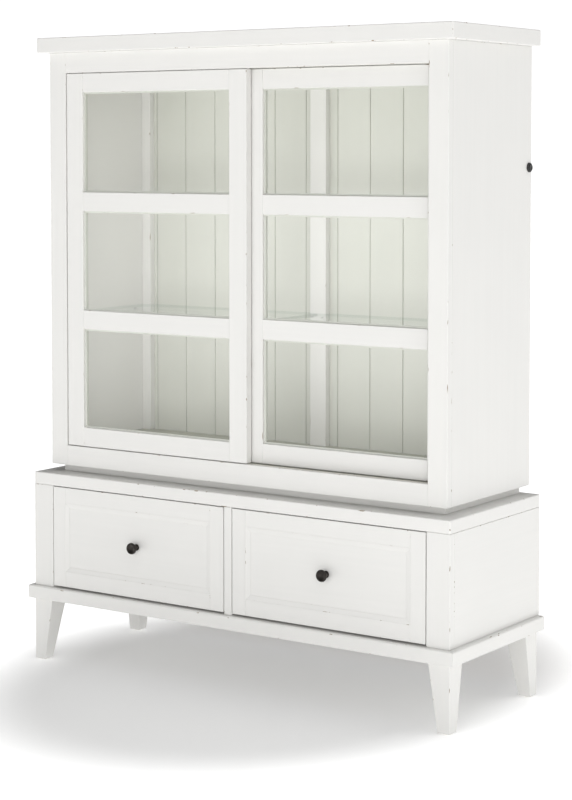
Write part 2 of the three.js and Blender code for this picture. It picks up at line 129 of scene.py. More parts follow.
# ---- shapes -------------------------------------------------------------------------------


@dataclass(frozen=True)
class Shell:
    """One closed surface, with what its finish needs to know at each point.

    points are in metres. grain is a point's place along, across and through its own board.
    arris is 1 on a sharp outer edge and falls to 0 a few millimetres from it. smooth and rim
    say of each face whether it is curved, and whether it is on the long sides of its outline.
    """

    points: Array
    grain: Array
    arris: Array
    faces: list[list[int]]
    smooth: list[bool]
    rim: list[bool]

    def bent(self, change: Callable[[Array], Array]) -> "Shell":
        """The same shell with its points moved by a function of the whole array."""
        return Shell(change(self.points), self.grain, self.arris, self.faces, self.smooth, self.rim)


def corner_ring(outline: Array, inset: float, cut: Array, lay: Array) -> Array:
    """A ring of five points round each corner of an outline that is drawn anticlockwise.

    Each corner first moves inwards by inset along (n1 + n2) / (1 + n1.n2), where n1 and n2 are
    the outward normals of its two edges. Its sharp point then becomes a parabola from cut
    before it to cut after it, whose middle is a quarter, a half and a quarter of the two ends
    and the corner, with one more point at lay from the corner on each edge.

    Args:
        outline: The corners, n x 2.
        inset: How far the ring lies inside the outline.
        cut: The rounding of each corner, n x 1.
        lay: The distance of the outer points of each corner, n x 1.

    Returns:
        The ring, 5n x 2.
    """
    after = np.roll(outline, -1, 0) - outline
    after /= np.linalg.norm(after, axis=1, keepdims=True)
    before = np.roll(after, 1, 0)
    out_a = np.column_stack([after[:, 1], -after[:, 0]])
    out_b = np.roll(out_a, 1, 0)
    share = 1 + (out_a * out_b).sum(1, keepdims=True)
    corner = outline - inset * (out_a + out_b) / np.maximum(share, 0.2)
    near_b, near_a = corner - before * cut, corner + after * cut
    middle = 0.25 * near_b + 0.5 * corner + 0.25 * near_a
    rings = [corner - before * lay, near_b, middle, near_a, corner + after * lay]
    return np.stack(rings, 1).reshape(-1, 2)


def grid_faces(rows: int, columns: int, first: int = 0) -> list[list[int]]:
    """Quads between neighbouring rows of a grid whose columns close on themselves.

    Args:
        rows: How many rows of points there are.
        columns: How many points a row has.
        first: The number of the grid's first point.

    Returns:
        Four point numbers for each quad.
    """
    row, column = np.meshgrid(np.arange(rows - 1), np.arange(columns), indexing="ij")
    following = (column + 1) % columns
    corners = [row * columns + column, row * columns + following]
    corners += [(row + 1) * columns + following, (row + 1) * columns + column]
    return (np.stack(corners, -1).reshape(-1, 4) + first).tolist()


@dataclass(frozen=True)
class Member:
    """A length of an eased section, square or mitred at its ends.

    A point of the section at (a, b) lies at start + a * across + b * deep, and the section is
    carried in a straight line to end. A mitre of m moves each end inwards by m * a. The ends
    are eased as the long edges are: the section shrinks along a quarter circle.
    """

    outline: Sequence[Span]
    start: Point
    end: Point
    across: Point
    deep: Point
    ease: float = EASE
    mitre: Span = (0.0, 0.0)
    seed: float = 0.0
    lay: float = 0.005

    def shell(self) -> Shell:
        """Ten rings of points, five towards each end, joined by quads and two end faces.

        Returns:
            The member's surface, with its grain along its length.
        """
        start, end = np.array(self.start, float), np.array(self.end, float)
        across, deep = np.array(self.across, float), np.array(self.deep, float)
        length = float(np.linalg.norm(end - start))
        run = (end - start) / length
        outline = np.array(self.outline, float)
        u, v = outline.T
        area = float((u * np.roll(v, -1) - v * np.roll(u, -1)).sum())
        handed = 1 if float(np.cross(across, deep) @ run) > 0 else -1
        if area * handed < 0:
            outline = outline[::-1].copy()
        flat = outline * np.array([1.0, handed])

        edge = np.linalg.norm(np.roll(flat, -1, 0) - flat, axis=1)
        shortest = np.minimum(edge, np.roll(edge, 1))[:, None]
        ease = min(self.ease, 0.3 * length)
        cut = np.minimum(ease, 0.4 * shortest)
        lay = np.maximum(np.minimum(self.lay, 0.48 * shortest), 1.1 * cut)
        rim = max(1.3 * ease, min(self.lay, 0.3 * float(edge.min())))
        bow = 1 - math.sqrt(0.5)
        insets = [rim, ease, bow * ease, 0.0, 0.0]
        steps = [0.0, 0.0, bow * ease, ease, max(1.1 * ease, min(self.lay, 0.45 * length))]
        worn = [0.0, 0.6, 1.0, 0.6, 0.0]
        rings = [
            corner_ring(flat, d, np.maximum(cut - d, 0.1 * cut), np.maximum(lay - d, 0.15 * cut))
            for d in insets
        ]
        section = np.stack(rings + rings[::-1])
        forth = np.array(steps)[:, None] + self.mitre[0] * section[:5, :, 0]
        back = length - np.array(steps[::-1])[:, None] - self.mitre[1] * section[5:, :, 0]
        along = np.concatenate([forth, back])

        heading = np.roll(flat, -1, 0) - flat
        coming = np.roll(heading, 1, 0)
        convex = (coming[:, 0] * heading[:, 1] - coming[:, 1] * heading[:, 0]) > 0
        ring_worn = (convex[:, None] * np.array([0.0, 0.6, 1.0, 0.6, 0.0])).reshape(-1)
        arris = np.maximum(np.array(worn + worn[::-1])[:, None], ring_worn[None, :])
        arris[[0, -1]] = 0.0

        rows, columns = along.shape
        section[..., 1] *= handed
        points = (
            start
            + section[..., :1] * across
            + section[..., 1:] * deep
            + along[..., None] * run
        ).reshape(-1, 3)
        grain = np.concatenate([along[..., None] + self.seed, section + self.seed], -1)
        faces = grid_faces(rows, columns)
        band = np.repeat(np.arange(rows - 1), columns)
        place = np.tile(np.arange(columns) % 5, rows - 1)
        curved_end = ((band >= 1) & (band <= 2)) | ((band >= rows - 4) & (band <= rows - 3))
        curved = curved_end | (place == 1) | (place == 2)
        rim_face = (band >= 2) & (band <= rows - 4)
        faces += [list(range(columns))[::-1], list(range((rows - 1) * columns, rows * columns))]
        return Shell(
            points,
            grain.reshape(-1, 3),
            arris.reshape(-1),
            faces,
            curved.tolist() + [False, False],
            rim_face.tolist() + [False, False],
        )


def milled(
    outline: Sequence[Span],
    span: Span,
    run: Run,
    ease: float = EASE,
    seed: float = 0.0,
) -> Shell:
    """An outline carried along an axis.

    Args:
        outline: Corners in (y, z) for a run across, (z, x) for a deep one, (x, y) upright.
        span: Where it starts and ends along the axis.
        run: The axis.
        ease: The rounding of its edges.
        seed: An offset for its grain.

    Returns:
        The shell.
    """
    axis = run.value
    start, end = AXES[axis] * span[0], AXES[axis] * span[1]
    across, deep = AXES[(axis + 1) % 3], AXES[(axis + 2) % 3]
    return Member(outline, start, end, across, deep, ease, seed=seed).shell()


def board(low: Point, high: Point, run: Run, ease: float = EASE, seed: float = 0.0) -> Shell:
    """A straight board: its rectangle across the run, carried along it.

    Args:
        low: Its lowest corner.
        high: Its highest corner.
        run: The axis that its grain follows.
        ease: The rounding of its edges.
        seed: An offset for its grain.

    Returns:
        The shell.
    """
    axis = run.value
    u, v = (axis + 1) % 3, (axis + 2) % 3
    outline = [(low[u], low[v]), (high[u], low[v]), (high[u], high[v]), (low[u], high[v])]
    return milled(outline, (low[axis], high[axis]), run, ease, seed)


@dataclass(frozen=True)
class Ring:
    """Four mitred members round a rectangular opening.

    outer and inner are (low, high) corners in the plane of the ring. section gives the outline
    of a member from its width, as (distance in from the outer edge, height) pairs. facing names
    the axis that the ring faces along, level is where its zero height lies, and rise is 1 or -1.
    """

    outer: tuple[Span, Span]
    inner: tuple[Span, Span]
    section: Callable[[float], Sequence[Span]]
    facing: Run
    level: float
    rise: int = 1
    ease: float = EASE
    seed: float = 0.0

    def shells(self) -> list[Shell]:
        """The members in turn round the opening.

        Returns:
            One shell for each, mitred to meet the next at the corners.
        """
        axis = self.facing.value
        u, v = AXES[(axis + 1) % 3], AXES[(axis + 2) % 3]
        height = AXES[axis] * self.level
        (u0, v0), (u1, v1) = self.outer
        (p0, q0), (p1, q1) = self.inner
        corners = [(u0, v0), (u1, v0), (u1, v1), (u0, v1)]
        insets = [(p0 - u0, q0 - v0), (u1 - p1, q0 - v0), (u1 - p1, v1 - q1), (p0 - u0, v1 - q1)]
        inward = [v, -u, -v, u]
        made = []
        for i, direction in enumerate(inward):
            j = (i + 1) % 4
            start = corners[i][0] * u + corners[i][1] * v + height
            end = corners[j][0] * u + corners[j][1] * v + height
            own, other = (1, 0) if i % 2 == 0 else (0, 1)
            width = insets[i][own]
            mitre = (insets[i][other] / insets[i][own], insets[j][other] / insets[j][own])
            made.append(
                Member(
                    self.section(width), start, end, direction, AXES[axis] * self.rise,
                    self.ease, mitre, self.seed + i,
                ).shell()
            )
        return made


def softened(profile: Sequence[Span], rounds: int = 2) -> Array:
    """A profile with its corners cut off: each line keeps its middle half in every round.

    Args:
        profile: The corners, from one end to the other.
        rounds: How many times they are cut.

    Returns:
        The rounder profile, with the same ends.
    """
    line = np.array(profile, float)
    for _ in range(rounds):
        near, far = 0.75 * line[:-1] + 0.25 * line[1:], 0.25 * line[:-1] + 0.75 * line[1:]
        line = np.concatenate([line[:1], np.stack([near, far], 1).reshape(-1, 2), line[-1:]])
    return line


@dataclass(frozen=True)
class Turning:
    """A part turned on a lathe: radius r and height h swept once round an axis.

    A point of the profile at angle t lies at centre + h * axis + r * (cos t, sin t) in the
    plane across the axis. The profile runs from one end of the part to the other, and closed
    joins its last point to its first, as in a ring.
    """

    profile: Array
    centre: Point
    axis: Run
    way: int = 1
    sides: int = 48
    closed: bool = False
    seed: float = 0.0

    def shell(self) -> Shell:
        """A grid of the profile's points by the turn's steps.

        Returns:
            The turned surface, closed by a flat face at each end, or closed on itself.
        """
        profile = np.array(self.profile, float)
        if self.closed:
            profile = np.concatenate([profile, profile[:1]])
        radius, height = np.maximum(profile[:, 0], 1e-5), profile[:, 1]
        turn = np.linspace(0, 2 * math.pi, self.sides, endpoint=False)
        axis = self.axis.value
        u, v, w = AXES[(axis + 1) % 3], AXES[(axis + 2) % 3], AXES[axis] * self.way
        points = (
            np.array(self.centre)
            + height[:, None, None] * w
            + radius[:, None, None] * (np.cos(turn)[:, None] * u + np.sin(turn)[:, None] * v)
        )
        slope = np.diff(profile, axis=0)
        angle = np.arctan2(slope[:, 1], slope[:, 0])
        bend = np.abs((np.diff(angle) + math.pi) % (2 * math.pi) - math.pi)
        arris = np.clip(np.concatenate([[0.0], bend, [0.0]]) / 0.6, 0, 1)
        rows, columns = len(profile), self.sides
        grain = np.stack(
            [
                np.broadcast_to(height[:, None], (rows, columns)),
                radius[:, None] * np.cos(turn),
                radius[:, None] * np.sin(turn),
            ],
            -1,
        ) + self.seed
        faces = grid_faces(rows, columns)
        if self.closed:
            count = (rows - 1) * columns
            faces = (np.array(faces) % count).tolist()
            points, grain, arris = points[:-1], grain[:-1], arris[:-1]
            rows -= 1
        else:
            faces += [list(range(columns))[::-1]]
            faces += [list(range((rows - 1) * columns, rows * columns))]
        flat = points.reshape(-1, 3)
        shell = Shell(
            flat,
            grain.reshape(-1, 3),
            np.repeat(arris, columns),
            faces,
            [len(face) == 4 for face in faces],
            [False] * len(faces),
        )
        return shell if signed_volume(shell) > 0 else turned_out(shell)


def signed_volume(shell: Shell) -> float:
    """Six times the volume inside: the triple products of every face's triangles, added up.

    Args:
        shell: A closed surface of quads and two end faces.

    Returns:
        A number above zero where the faces point outwards.
    """
    centre = shell.points.mean(0)
    quads = np.array([face for face in shell.faces if len(face) == 4])
    a, b, c, d = (shell.points[quads[:, i]] - centre for i in range(4))
    total = float((a * np.cross(b, c)).sum() + (a * np.cross(c, d)).sum())
    for face in (face for face in shell.faces if len(face) > 4):
        ring = shell.points[face] - centre
        total += float((ring[0] * np.cross(ring[1:-1], ring[2:])).sum())
    return total


def turned_out(shell: Shell) -> Shell:
    """The same shell with every face's order reversed."""
    faces = [face[::-1] for face in shell.faces]
    return Shell(shell.points, shell.grain, shell.arris, faces, shell.smooth, shell.rim)


# ---- finishes -----------------------------------------------------------------------------


class Recipe:
    """A material's node tree, with one short method for each kind of node it uses."""

    def __init__(self, name: str) -> None:
        """Starts a material that holds its output only.

        Args:
            name: The material's name.
        """
        self.material = bpy.data.materials.new(name)
        self.material.use_nodes = True
        self.tree = self.material.node_tree
        self.tree.nodes.clear()
        self.output = self.tree.nodes.new("ShaderNodeOutputMaterial")

    def node(self, kind: str, **settings: str) -> bpy.types.Node:
        """Adds a node.

        Args:
            kind: The node's type.
            settings: Its settings by name.

        Returns:
            The node.
        """
        made = self.tree.nodes.new(kind)
        for key, value in settings.items():
            setattr(made, key, value)
        return made

    def link(self, source: Socket, target: Socket) -> None:
        """Joins an output to an input."""
        self.tree.links.new(source, target)

    def feed(self, target: Socket, value: Value) -> None:
        """Sets an input.

        Args:
            target: The input.
            value: A number, a colour or another node's output.
        """
        if isinstance(value, bpy.types.NodeSocket):
            self.link(value, target)
        elif isinstance(value, tuple) and len(value) == 3 and target.type == "RGBA":
            target.default_value = (*value, 1)
        else:
            target.default_value = value

    def place(self, own: bool, stretch: Point) -> Socket:
        """Where a point lies, each coordinate multiplied by stretch.

        Args:
            own: True for the board's own coordinates, False for the object's.
            stretch: The three factors.

        Returns:
            The coordinates.
        """
        if own:
            source = self.node("ShaderNodeAttribute", attribute_name="grain").outputs["Vector"]
        else:
            source = self.node("ShaderNodeTexCoord").outputs["Object"]
        mapping = self.node("ShaderNodeMapping")
        self.link(source, mapping.inputs["Vector"])
        mapping.inputs["Scale"].default_value = stretch
        return mapping.outputs["Vector"]

    def noise(self, place: Socket, scale: float, detail: float = 3, warp: float = 0) -> Socket:
        """Noise from 0 to 1, most of it near a half.

        Args:
            place: The coordinates it is read at.
            scale: How many lumps a metre has.
            detail: How many finer layers are added.
            warp: How far the lumps are pulled about.

        Returns:
            The noise.
        """
        made = self.node("ShaderNodeTexNoise")
        self.link(place, made.inputs["Vector"])
        made.inputs["Scale"].default_value = scale
        made.inputs["Detail"].default_value = detail
        made.inputs["Distortion"].default_value = warp
        return made.outputs["Fac"]

    def spread(self, value: Socket, low: float, high: float, to: Span = (0.0, 1.0)) -> Socket:
        """A smooth S-shaped step.

        Args:
            value: What is read.
            low: Where the step starts.
            high: Where it ends.
            to: The result before and after the step.

        Returns:
            The result.
        """
        made = self.node("ShaderNodeMapRange", interpolation_type="SMOOTHSTEP")
        self.link(value, made.inputs["Value"])
        made.inputs["From Min"].default_value = low
        made.inputs["From Max"].default_value = high
        made.inputs["To Min"].default_value, made.inputs["To Max"].default_value = to
        return made.outputs["Result"]

    def maths(self, operation: str, first: Value, second: Value) -> Socket:
        """One sum.

        Args:
            operation: Its name, such as ADD or MULTIPLY.
            first: The first number.
            second: The second number.

        Returns:
            The result.
        """
        made = self.node("ShaderNodeMath", operation=operation)
        self.feed(made.inputs[0], first)
        self.feed(made.inputs[1], second)
        return made.outputs[0]

    def blend(self, share: Value, first: Value, second: Value) -> Socket:
        """A colour between two others.

        Args:
            share: 0 for the first and 1 for the second.
            first: The first colour.
            second: The second colour.

        Returns:
            The colour.
        """
        made = self.node("ShaderNodeMix", data_type="RGBA")
        self.feed(made.inputs[0], share)
        self.feed(made.inputs[6], first)
        self.feed(made.inputs[7], second)
        return made.outputs[2]

    def bump(self, height: Socket, depth: float) -> Socket:
        """The way the surface faces under a fine relief.

        Args:
            height: The relief, from 0 to 1.
            depth: How many metres a height of 1 stands for.

        Returns:
            The normal.
        """
        made = self.node("ShaderNodeBump")
        self.link(height, made.inputs["Height"])
        made.inputs["Distance"].default_value = depth
        return made.outputs["Normal"]

    def surface(self, **inputs: Value) -> bpy.types.Material:
        """Ends the recipe with one principled shader.

        Args:
            inputs: The shader's inputs by name, with underscores for spaces.

        Returns:
            The finished material.
        """
        shader = self.node("ShaderNodeBsdfPrincipled")
        for key, value in inputs.items():
            self.feed(shader.inputs[key.replace("_", " ")], value)
        self.link(shader.outputs[0], self.output.inputs["Surface"])
        return self.material


@dataclass(frozen=True)
class Paint:
    """Brushed satin paint over a brown primer, rubbed through in places along its edges.

    own says that the piece carries its own grain and arris. Without them the brush marks run
    upwards on the object's coordinates, and no edge is worn.
    """

    name: str
    colour: Colour
    shade: Colour
    roughness: float = 0.42
    wear: float = 0.0
    own: bool = True
    primer: Colour = (0.28, 0.21, 0.14)
    stroke: float = 34.0
    relief: float = 0.00016

    def material(self) -> bpy.types.Material:
        """Fine brush marks and slow cloudiness in colour, gloss and height, and the nicks.

        Returns:
            The material.
        """
        made = Recipe(self.name)
        stroke = self.stroke
        lengthways = (1.0, stroke, stroke) if self.own else (stroke, stroke, 1.0)
        marks = made.noise(made.place(self.own, lengthways), 14.0, 4, 0.3)
        figure = made.noise(made.place(self.own, tuple(0.35 * s for s in lengthways)), 5.0, 3, 0.8)
        clouds = made.noise(made.place(self.own, EVEN), 5.0, 3)
        pores = made.noise(made.place(self.own, EVEN), 420.0, 2)
        tone = made.maths("ADD", made.spread(clouds, *MOST, (0.0, 0.4)),
                          made.spread(figure, *MOST, (0.0, 0.4)))
        colour = made.blend(tone, self.colour, self.shade)
        lift = made.maths("ADD", made.maths("MULTIPLY", marks, 0.7),
                          made.maths("MULTIPLY", figure, 0.6))
        height = made.maths("ADD", lift, made.maths("MULTIPLY", pores, 0.12))
        gloss = made.spread(marks, *MOST, (self.roughness - 0.06, self.roughness + 0.08))
        if self.own:
            worn = self.nicks(made)
            colour = made.blend(worn, colour, self.primer)
            height = made.maths("SUBTRACT", height, made.maths("MULTIPLY", worn, 1.6))
            gloss = made.maths("ADD", gloss, made.maths("MULTIPLY", worn, 0.25))
        return made.surface(
            Base_Color=colour, Roughness=gloss, Normal=made.bump(height, self.relief),
            Specular_IOR_Level=0.42,
        )

    def nicks(self, made: Recipe) -> Socket:
        """Where the paint is gone: short runs of the outer edges, here and there.

        Fine flecks, drawn out along the grain, plus a share of a slow noise that gathers them,
        less what keeps the paint on away from the edges, are cut off at a level.

        Args:
            made: The material's recipe.

        Returns:
            1 where the primer shows and 0 where the paint is whole.
        """
        arris = made.node("ShaderNodeAttribute", attribute_name="arris").outputs["Fac"]
        flecks = made.noise(made.place(True, (0.55, 1.6, 1.6)), 95.0, 2, 0.4)
        gathered = made.noise(made.place(True, EVEN), 13.0, 2)
        reach = made.maths("ADD", flecks, made.maths("MULTIPLY", gathered, 0.35))
        edge = made.spread(arris, 0.12, 0.75, (-0.3, 0.0))
        cut = 1.12 - self.wear
        return made.spread(made.maths("ADD", reach, edge), cut, cut + 0.03)


@dataclass(frozen=True)
class Timber:
    """Bare pale wood with its annual rings and pores, under a thin clear sealer."""

    name: str
    colour: Colour
    dark: Colour
    roughness: float = 0.5
    ring: float = 22.0

    def material(self) -> bpy.types.Material:
        """Rings as stretched noise folded into bands, and short dark pores along the grain.

        Returns:
            The material.
        """
        made = Recipe(self.name)
        figure = made.noise(made.place(True, (0.06, 1.0, 1.0)), 9.0, 2, 1.2)
        bands = made.node("ShaderNodeMath", operation="PINGPONG")
        made.feed(bands.inputs[0], made.maths("MULTIPLY", figure, self.ring))
        bands.inputs[1].default_value = 1.0
        pores = made.noise(made.place(True, (12.0, 420.0, 420.0)), 1.0, 3)
        streak = made.noise(made.place(True, (1.2, 60.0, 60.0)), 1.0, 3)
        tone = made.maths("ADD", made.maths("MULTIPLY", bands.outputs[0], 0.45),
                          made.spread(streak, 0.35, 0.7, (0.0, 0.35)))
        tone = made.maths("ADD", tone, made.spread(pores, 0.6, 0.72, (0.0, 0.35)))
        gloss = made.spread(pores, 0.4, 0.7, (self.roughness, self.roughness + 0.2))
        return made.surface(
            Base_Color=made.blend(tone, self.colour, self.dark), Roughness=gloss,
            Normal=made.bump(made.maths("SUBTRACT", 1.0, tone), 0.00012),
            Specular_IOR_Level=0.35,
        )


@dataclass(frozen=True)
class Metal:
    """Cast, rolled or plated metal, with a fine tooth, and rubbed bright on its edges."""

    name: str
    colour: Colour
    rubbed: Colour
    roughness: float
    metallic: float = 1.0
    tooth: float = 900.0
    stretch: Point = EVEN
    edge: float = 0.7

    def material(self) -> bpy.types.Material:
        """Cloudy colour and gloss, with the rubbed colour where the arris is strong.

        Returns:
            The material.
        """
        made = Recipe(self.name)
        clouds = made.noise(made.place(True, self.stretch), 90.0, 4, 0.5)
        tooth = made.noise(made.place(True, self.stretch), self.tooth, 2)
        arris = made.node("ShaderNodeAttribute", attribute_name="arris").outputs["Fac"]
        bright = made.spread(made.maths("ADD", arris, clouds), 1.0, 1.6, (0.0, self.edge))
        aged = made.blend(made.spread(clouds, *MOST, (0.0, 0.5)), self.colour,
                          tuple(0.6 * part for part in self.colour))
        gloss = made.spread(clouds, *MOST, (self.roughness - 0.07, self.roughness + 0.12))
        return made.surface(
            Base_Color=made.blend(bright, aged, self.rubbed), Roughness=gloss,
            Metallic=self.metallic, Normal=made.bump(tooth, 0.00003),
        )


@dataclass(frozen=True)
class Moulded:
    """Moulded plastic with a faint spark-eroded texture."""

    name: str
    colour: Colour
    roughness: float
    see_through: float = 0.0

    def material(self) -> bpy.types.Material:
        """Fine pits in gloss and height, and a slow change in colour.

        Returns:
            The material.
        """
        made = Recipe(self.name)
        place = made.place(True, EVEN)
        pits = made.noise(place, 1600.0, 2)
        clouds = made.noise(place, 60.0, 3)
        worn = tuple(min(1.0, 1.12 * part + 0.01) for part in self.colour)
        return made.surface(
            Base_Color=made.blend(made.spread(clouds, *MOST), self.colour, worn),
            Roughness=made.spread(pits, *MOST, (self.roughness - 0.05, self.roughness + 0.1)),
            Normal=made.bump(pits, 0.00004), Subsurface_Weight=self.see_through,
            Subsurface_Radius=Vector((0.004, 0.004, 0.004)),
        )


@dataclass(frozen=True)
class ClearGlass:
    """Float glass: clear, with a mirror's share that grows at a low angle.

    Only the faces that are met from outside mirror, so nothing is caught inside a pane.
    """

    name: str
    tint: Colour
    roughness: float = 0.02
    bending: float = 1.5

    def material(self) -> bpy.types.Material:
        """What is behind, mixed with a gloss by Fresnel's law, a little smeared in places.

        Returns:
            The material.
        """
        made = Recipe(self.name)
        smears = made.noise(made.place(True, EVEN), 9.0, 4, 0.6)
        wavy = made.noise(made.place(True, EVEN), 3.0, 1)
        through = made.node("ShaderNodeBsdfTransparent")
        through.inputs["Color"].default_value = (*self.tint, 1)
        mirror = made.node("ShaderNodeBsdfGlossy")
        mirror.inputs["Color"].default_value = (0.96, 0.98, 0.97, 1)
        made.link(made.spread(smears, 0.4, 0.8, (self.roughness, self.roughness + 0.06)),
                  mirror.inputs["Roughness"])
        made.link(made.bump(wavy, 0.0002), mirror.inputs["Normal"])
        share = made.node("ShaderNodeFresnel")
        share.inputs["IOR"].default_value = self.bending
        inside = made.node("ShaderNodeNewGeometry").outputs["Backfacing"]
        outside = made.maths("SUBTRACT", 1.0, inside)
        both = made.node("ShaderNodeMixShader")
        made.link(made.maths("MULTIPLY", share.outputs[0], outside), both.inputs[0])
        made.link(through.outputs[0], both.inputs[1])
        made.link(mirror.outputs[0], both.inputs[2])
        path = made.node("ShaderNodeLightPath")
        lamp = made.maths("MAXIMUM", path.outputs["Is Shadow Ray"], path.outputs["Is Diffuse Ray"])
        clear = made.node("ShaderNodeBsdfTransparent")
        passing = made.node("ShaderNodeMixShader")
        made.link(lamp, passing.inputs[0])
        made.link(both.outputs[0], passing.inputs[1])
        made.link(clear.outputs[0], passing.inputs[2])
        made.link(passing.outputs[0], made.output.inputs["Surface"])
        return made.material


class Finish(Enum):
    """Every finish on the cabinet, with the slot of the record that it belongs to."""

    WHITE = (Paint("white_paint", (0.78, 0.773, 0.75), (0.755, 0.75, 0.728), 0.42, 0.27),
             Slot.WHITE)
    SAGE = (Paint("sage_paint", (0.655, 0.66, 0.61), (0.63, 0.638, 0.586), 0.5, 0.05),
            Slot.SAGE)
    # A darker copy of the sage paint. Its colour is painted shade, standing in for the shadow on
    # the hutch floor behind the doors' bottom rail.
    SAGE_PAINTED_SHADE_FLOOR = (Paint("sage_floor_painted_shade", (0.43, 0.43, 0.37), (0.40, 0.40, 0.345), 0.5, 0.05),
                  Slot.SAGE)
    SAGE_PANEL = (Paint("sage_panel", (0.655, 0.66, 0.61), (0.63, 0.638, 0.586), 0.5,
                        own=False), Slot.SAGE)
    WOOD = (Timber("bare_wood", (0.72, 0.55, 0.34), (0.50, 0.34, 0.19)), Slot.WOOD)
    HARDBOARD = (Timber("back_board", (0.46, 0.33, 0.21), (0.36, 0.25, 0.15), 0.6, 6.0), Slot.WOOD)
    GLASS = (ClearGlass("clear_glass", (0.99, 0.993, 0.988)), Slot.GLASS)
    GLASS_EDGE = (ClearGlass("polished_glass_edge", (0.80, 0.85, 0.82), 0.12), Slot.GLASS)
    BRONZE = (Metal("dark_bronze", (0.045, 0.040, 0.036), (0.22, 0.16, 0.11), 0.36, 0.85),
              Slot.BRONZE)
    STEEL = (Metal("rolled_steel", (0.56, 0.57, 0.58), (0.75, 0.75, 0.75), 0.3, 1.0, 700.0,
                   (0.2, 1.0, 1.0)), Slot.STEEL)
    NYLON = (Moulded("nylon", (0.78, 0.76, 0.70), 0.4, 0.1), Slot.NYLON)
    LENS = (Moulded("frosted_lens", (0.86, 0.86, 0.84), 0.45, 0.25), Slot.NYLON)
    BLACK = (Moulded("black_plastic", (0.012, 0.012, 0.012), 0.42), Slot.BLACK)


# ---- the workshop -------------------------------------------------------------------------


@dataclass
class Workshop:
    """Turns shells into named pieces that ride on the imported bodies."""

    materials: dict[Finish, bpy.types.Material] = field(default_factory=dict)
    count: int = 0

    def stock(self, finish: Finish) -> bpy.types.Material:
        """The material of a finish, made the first time it is asked for.

        Args:
            finish: The finish.

        Returns:
            Its material.
        """
        if finish not in self.materials:
            self.materials[finish] = finish.value[0].material()
        return self.materials[finish]

    def fit(
        self,
        name: str,
        shells: Shell | Sequence[Shell],
        finish: Finish,
        body: str = CABINET,
        stands_for: Sequence[str] = (),
        rim: Finish | None = None,
    ) -> bpy.types.Object:
        """Makes one piece.

        Args:
            name: The piece's name.
            shells: Its closed surfaces.
            finish: The finish of its faces.
            body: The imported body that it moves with.
            stands_for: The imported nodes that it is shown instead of.
            rim: Another finish for the long sides of its outline.

        Returns:
            The object, at the origin, with its place in its mesh.
        """
        parts = [shells] if isinstance(shells, Shell) else list(shells)
        firsts = np.cumsum([0] + [len(part.points) for part in parts[:-1]])
        faces = [
            [index + int(first) for index in face]
            for part, first in zip(parts, firsts)
            for face in part.faces
        ]
        mesh = bpy.data.meshes.new(name)
        mesh.from_pydata(np.concatenate([part.points for part in parts]).tolist(), [], faces)
        mesh.update()
        mesh.polygons.foreach_set("use_smooth", [s for part in parts for s in part.smooth])
        grain = mesh.attributes.new("grain", "FLOAT_VECTOR", "POINT")
        grain.data.foreach_set("vector", np.concatenate([p.grain for p in parts]).reshape(-1))
        arris = mesh.attributes.new("arris", "FLOAT", "POINT")
        arris.data.foreach_set("value", np.concatenate([part.arris for part in parts]))
        mesh.materials.append(self.stock(finish))
        if rim is not None:
            mesh.materials.append(self.stock(rim))
            mesh.polygons.foreach_set(
                "material_index", [int(r) for part in parts for r in part.rim]
            )
        piece = bpy.data.objects.new(name, mesh)
        bpy.context.scene.collection.objects.link(piece)
        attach(piece, body)
        if stands_for:
            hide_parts(*stands_for)
        self.count += 1
        log.info("%s: %d faces, %s, on %s", name, len(faces), finish.name.lower(), body)
        return piece

    def dress(self, node: str, finish: Finish) -> None:
        """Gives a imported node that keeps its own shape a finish.

        Args:
            node: The node's name.
            finish: Its finish.
        """
        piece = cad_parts[node]
        piece.data.materials.clear()
        piece.data.materials.append(self.stock(finish))
        log.info("%s: packed shape, %s", node, finish.name.lower())


def seed_of(name: str) -> float:
    """An offset for a piece's grain: the codes of its name's letters, weighted by place."""
    codes = np.frombuffer(name.encode(), np.uint8).astype(float)
    return float((codes * np.arange(1, len(codes) + 1)).sum() % 97)


def corners(node: str) -> tuple[Array, Array]:
    """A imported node's lowest and highest corners as arrays."""
    low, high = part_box(node)
    return np.array(low), np.array(high)


def screw(centre: Point, axis: Run, way: int, radius: float = 0.0035) -> Shell:
    """A pan-head screw seen from outside: a low dome with a dished drive.

    Args:
        centre: Where its axis meets the wood.
        axis: The axis that it is driven along.
        way: 1 or -1, the way its head faces along the axis.
        radius: The head's radius.

    Returns:
        The head.
    """
    profile = softened([(share * radius, height) for share, height in SCREW_HEAD], 1)
    return Turning(profile, centre, axis, way, 16).shell()


def stepped(steps: Outline, radius: float, height: float) -> list[Span]:
    """Steps of (distance past a radius, share of a height) as radii and heights."""
    return [(radius + past, share * height) for past, share in steps]


# ---- hutch --------------------------------------------------------------------------------


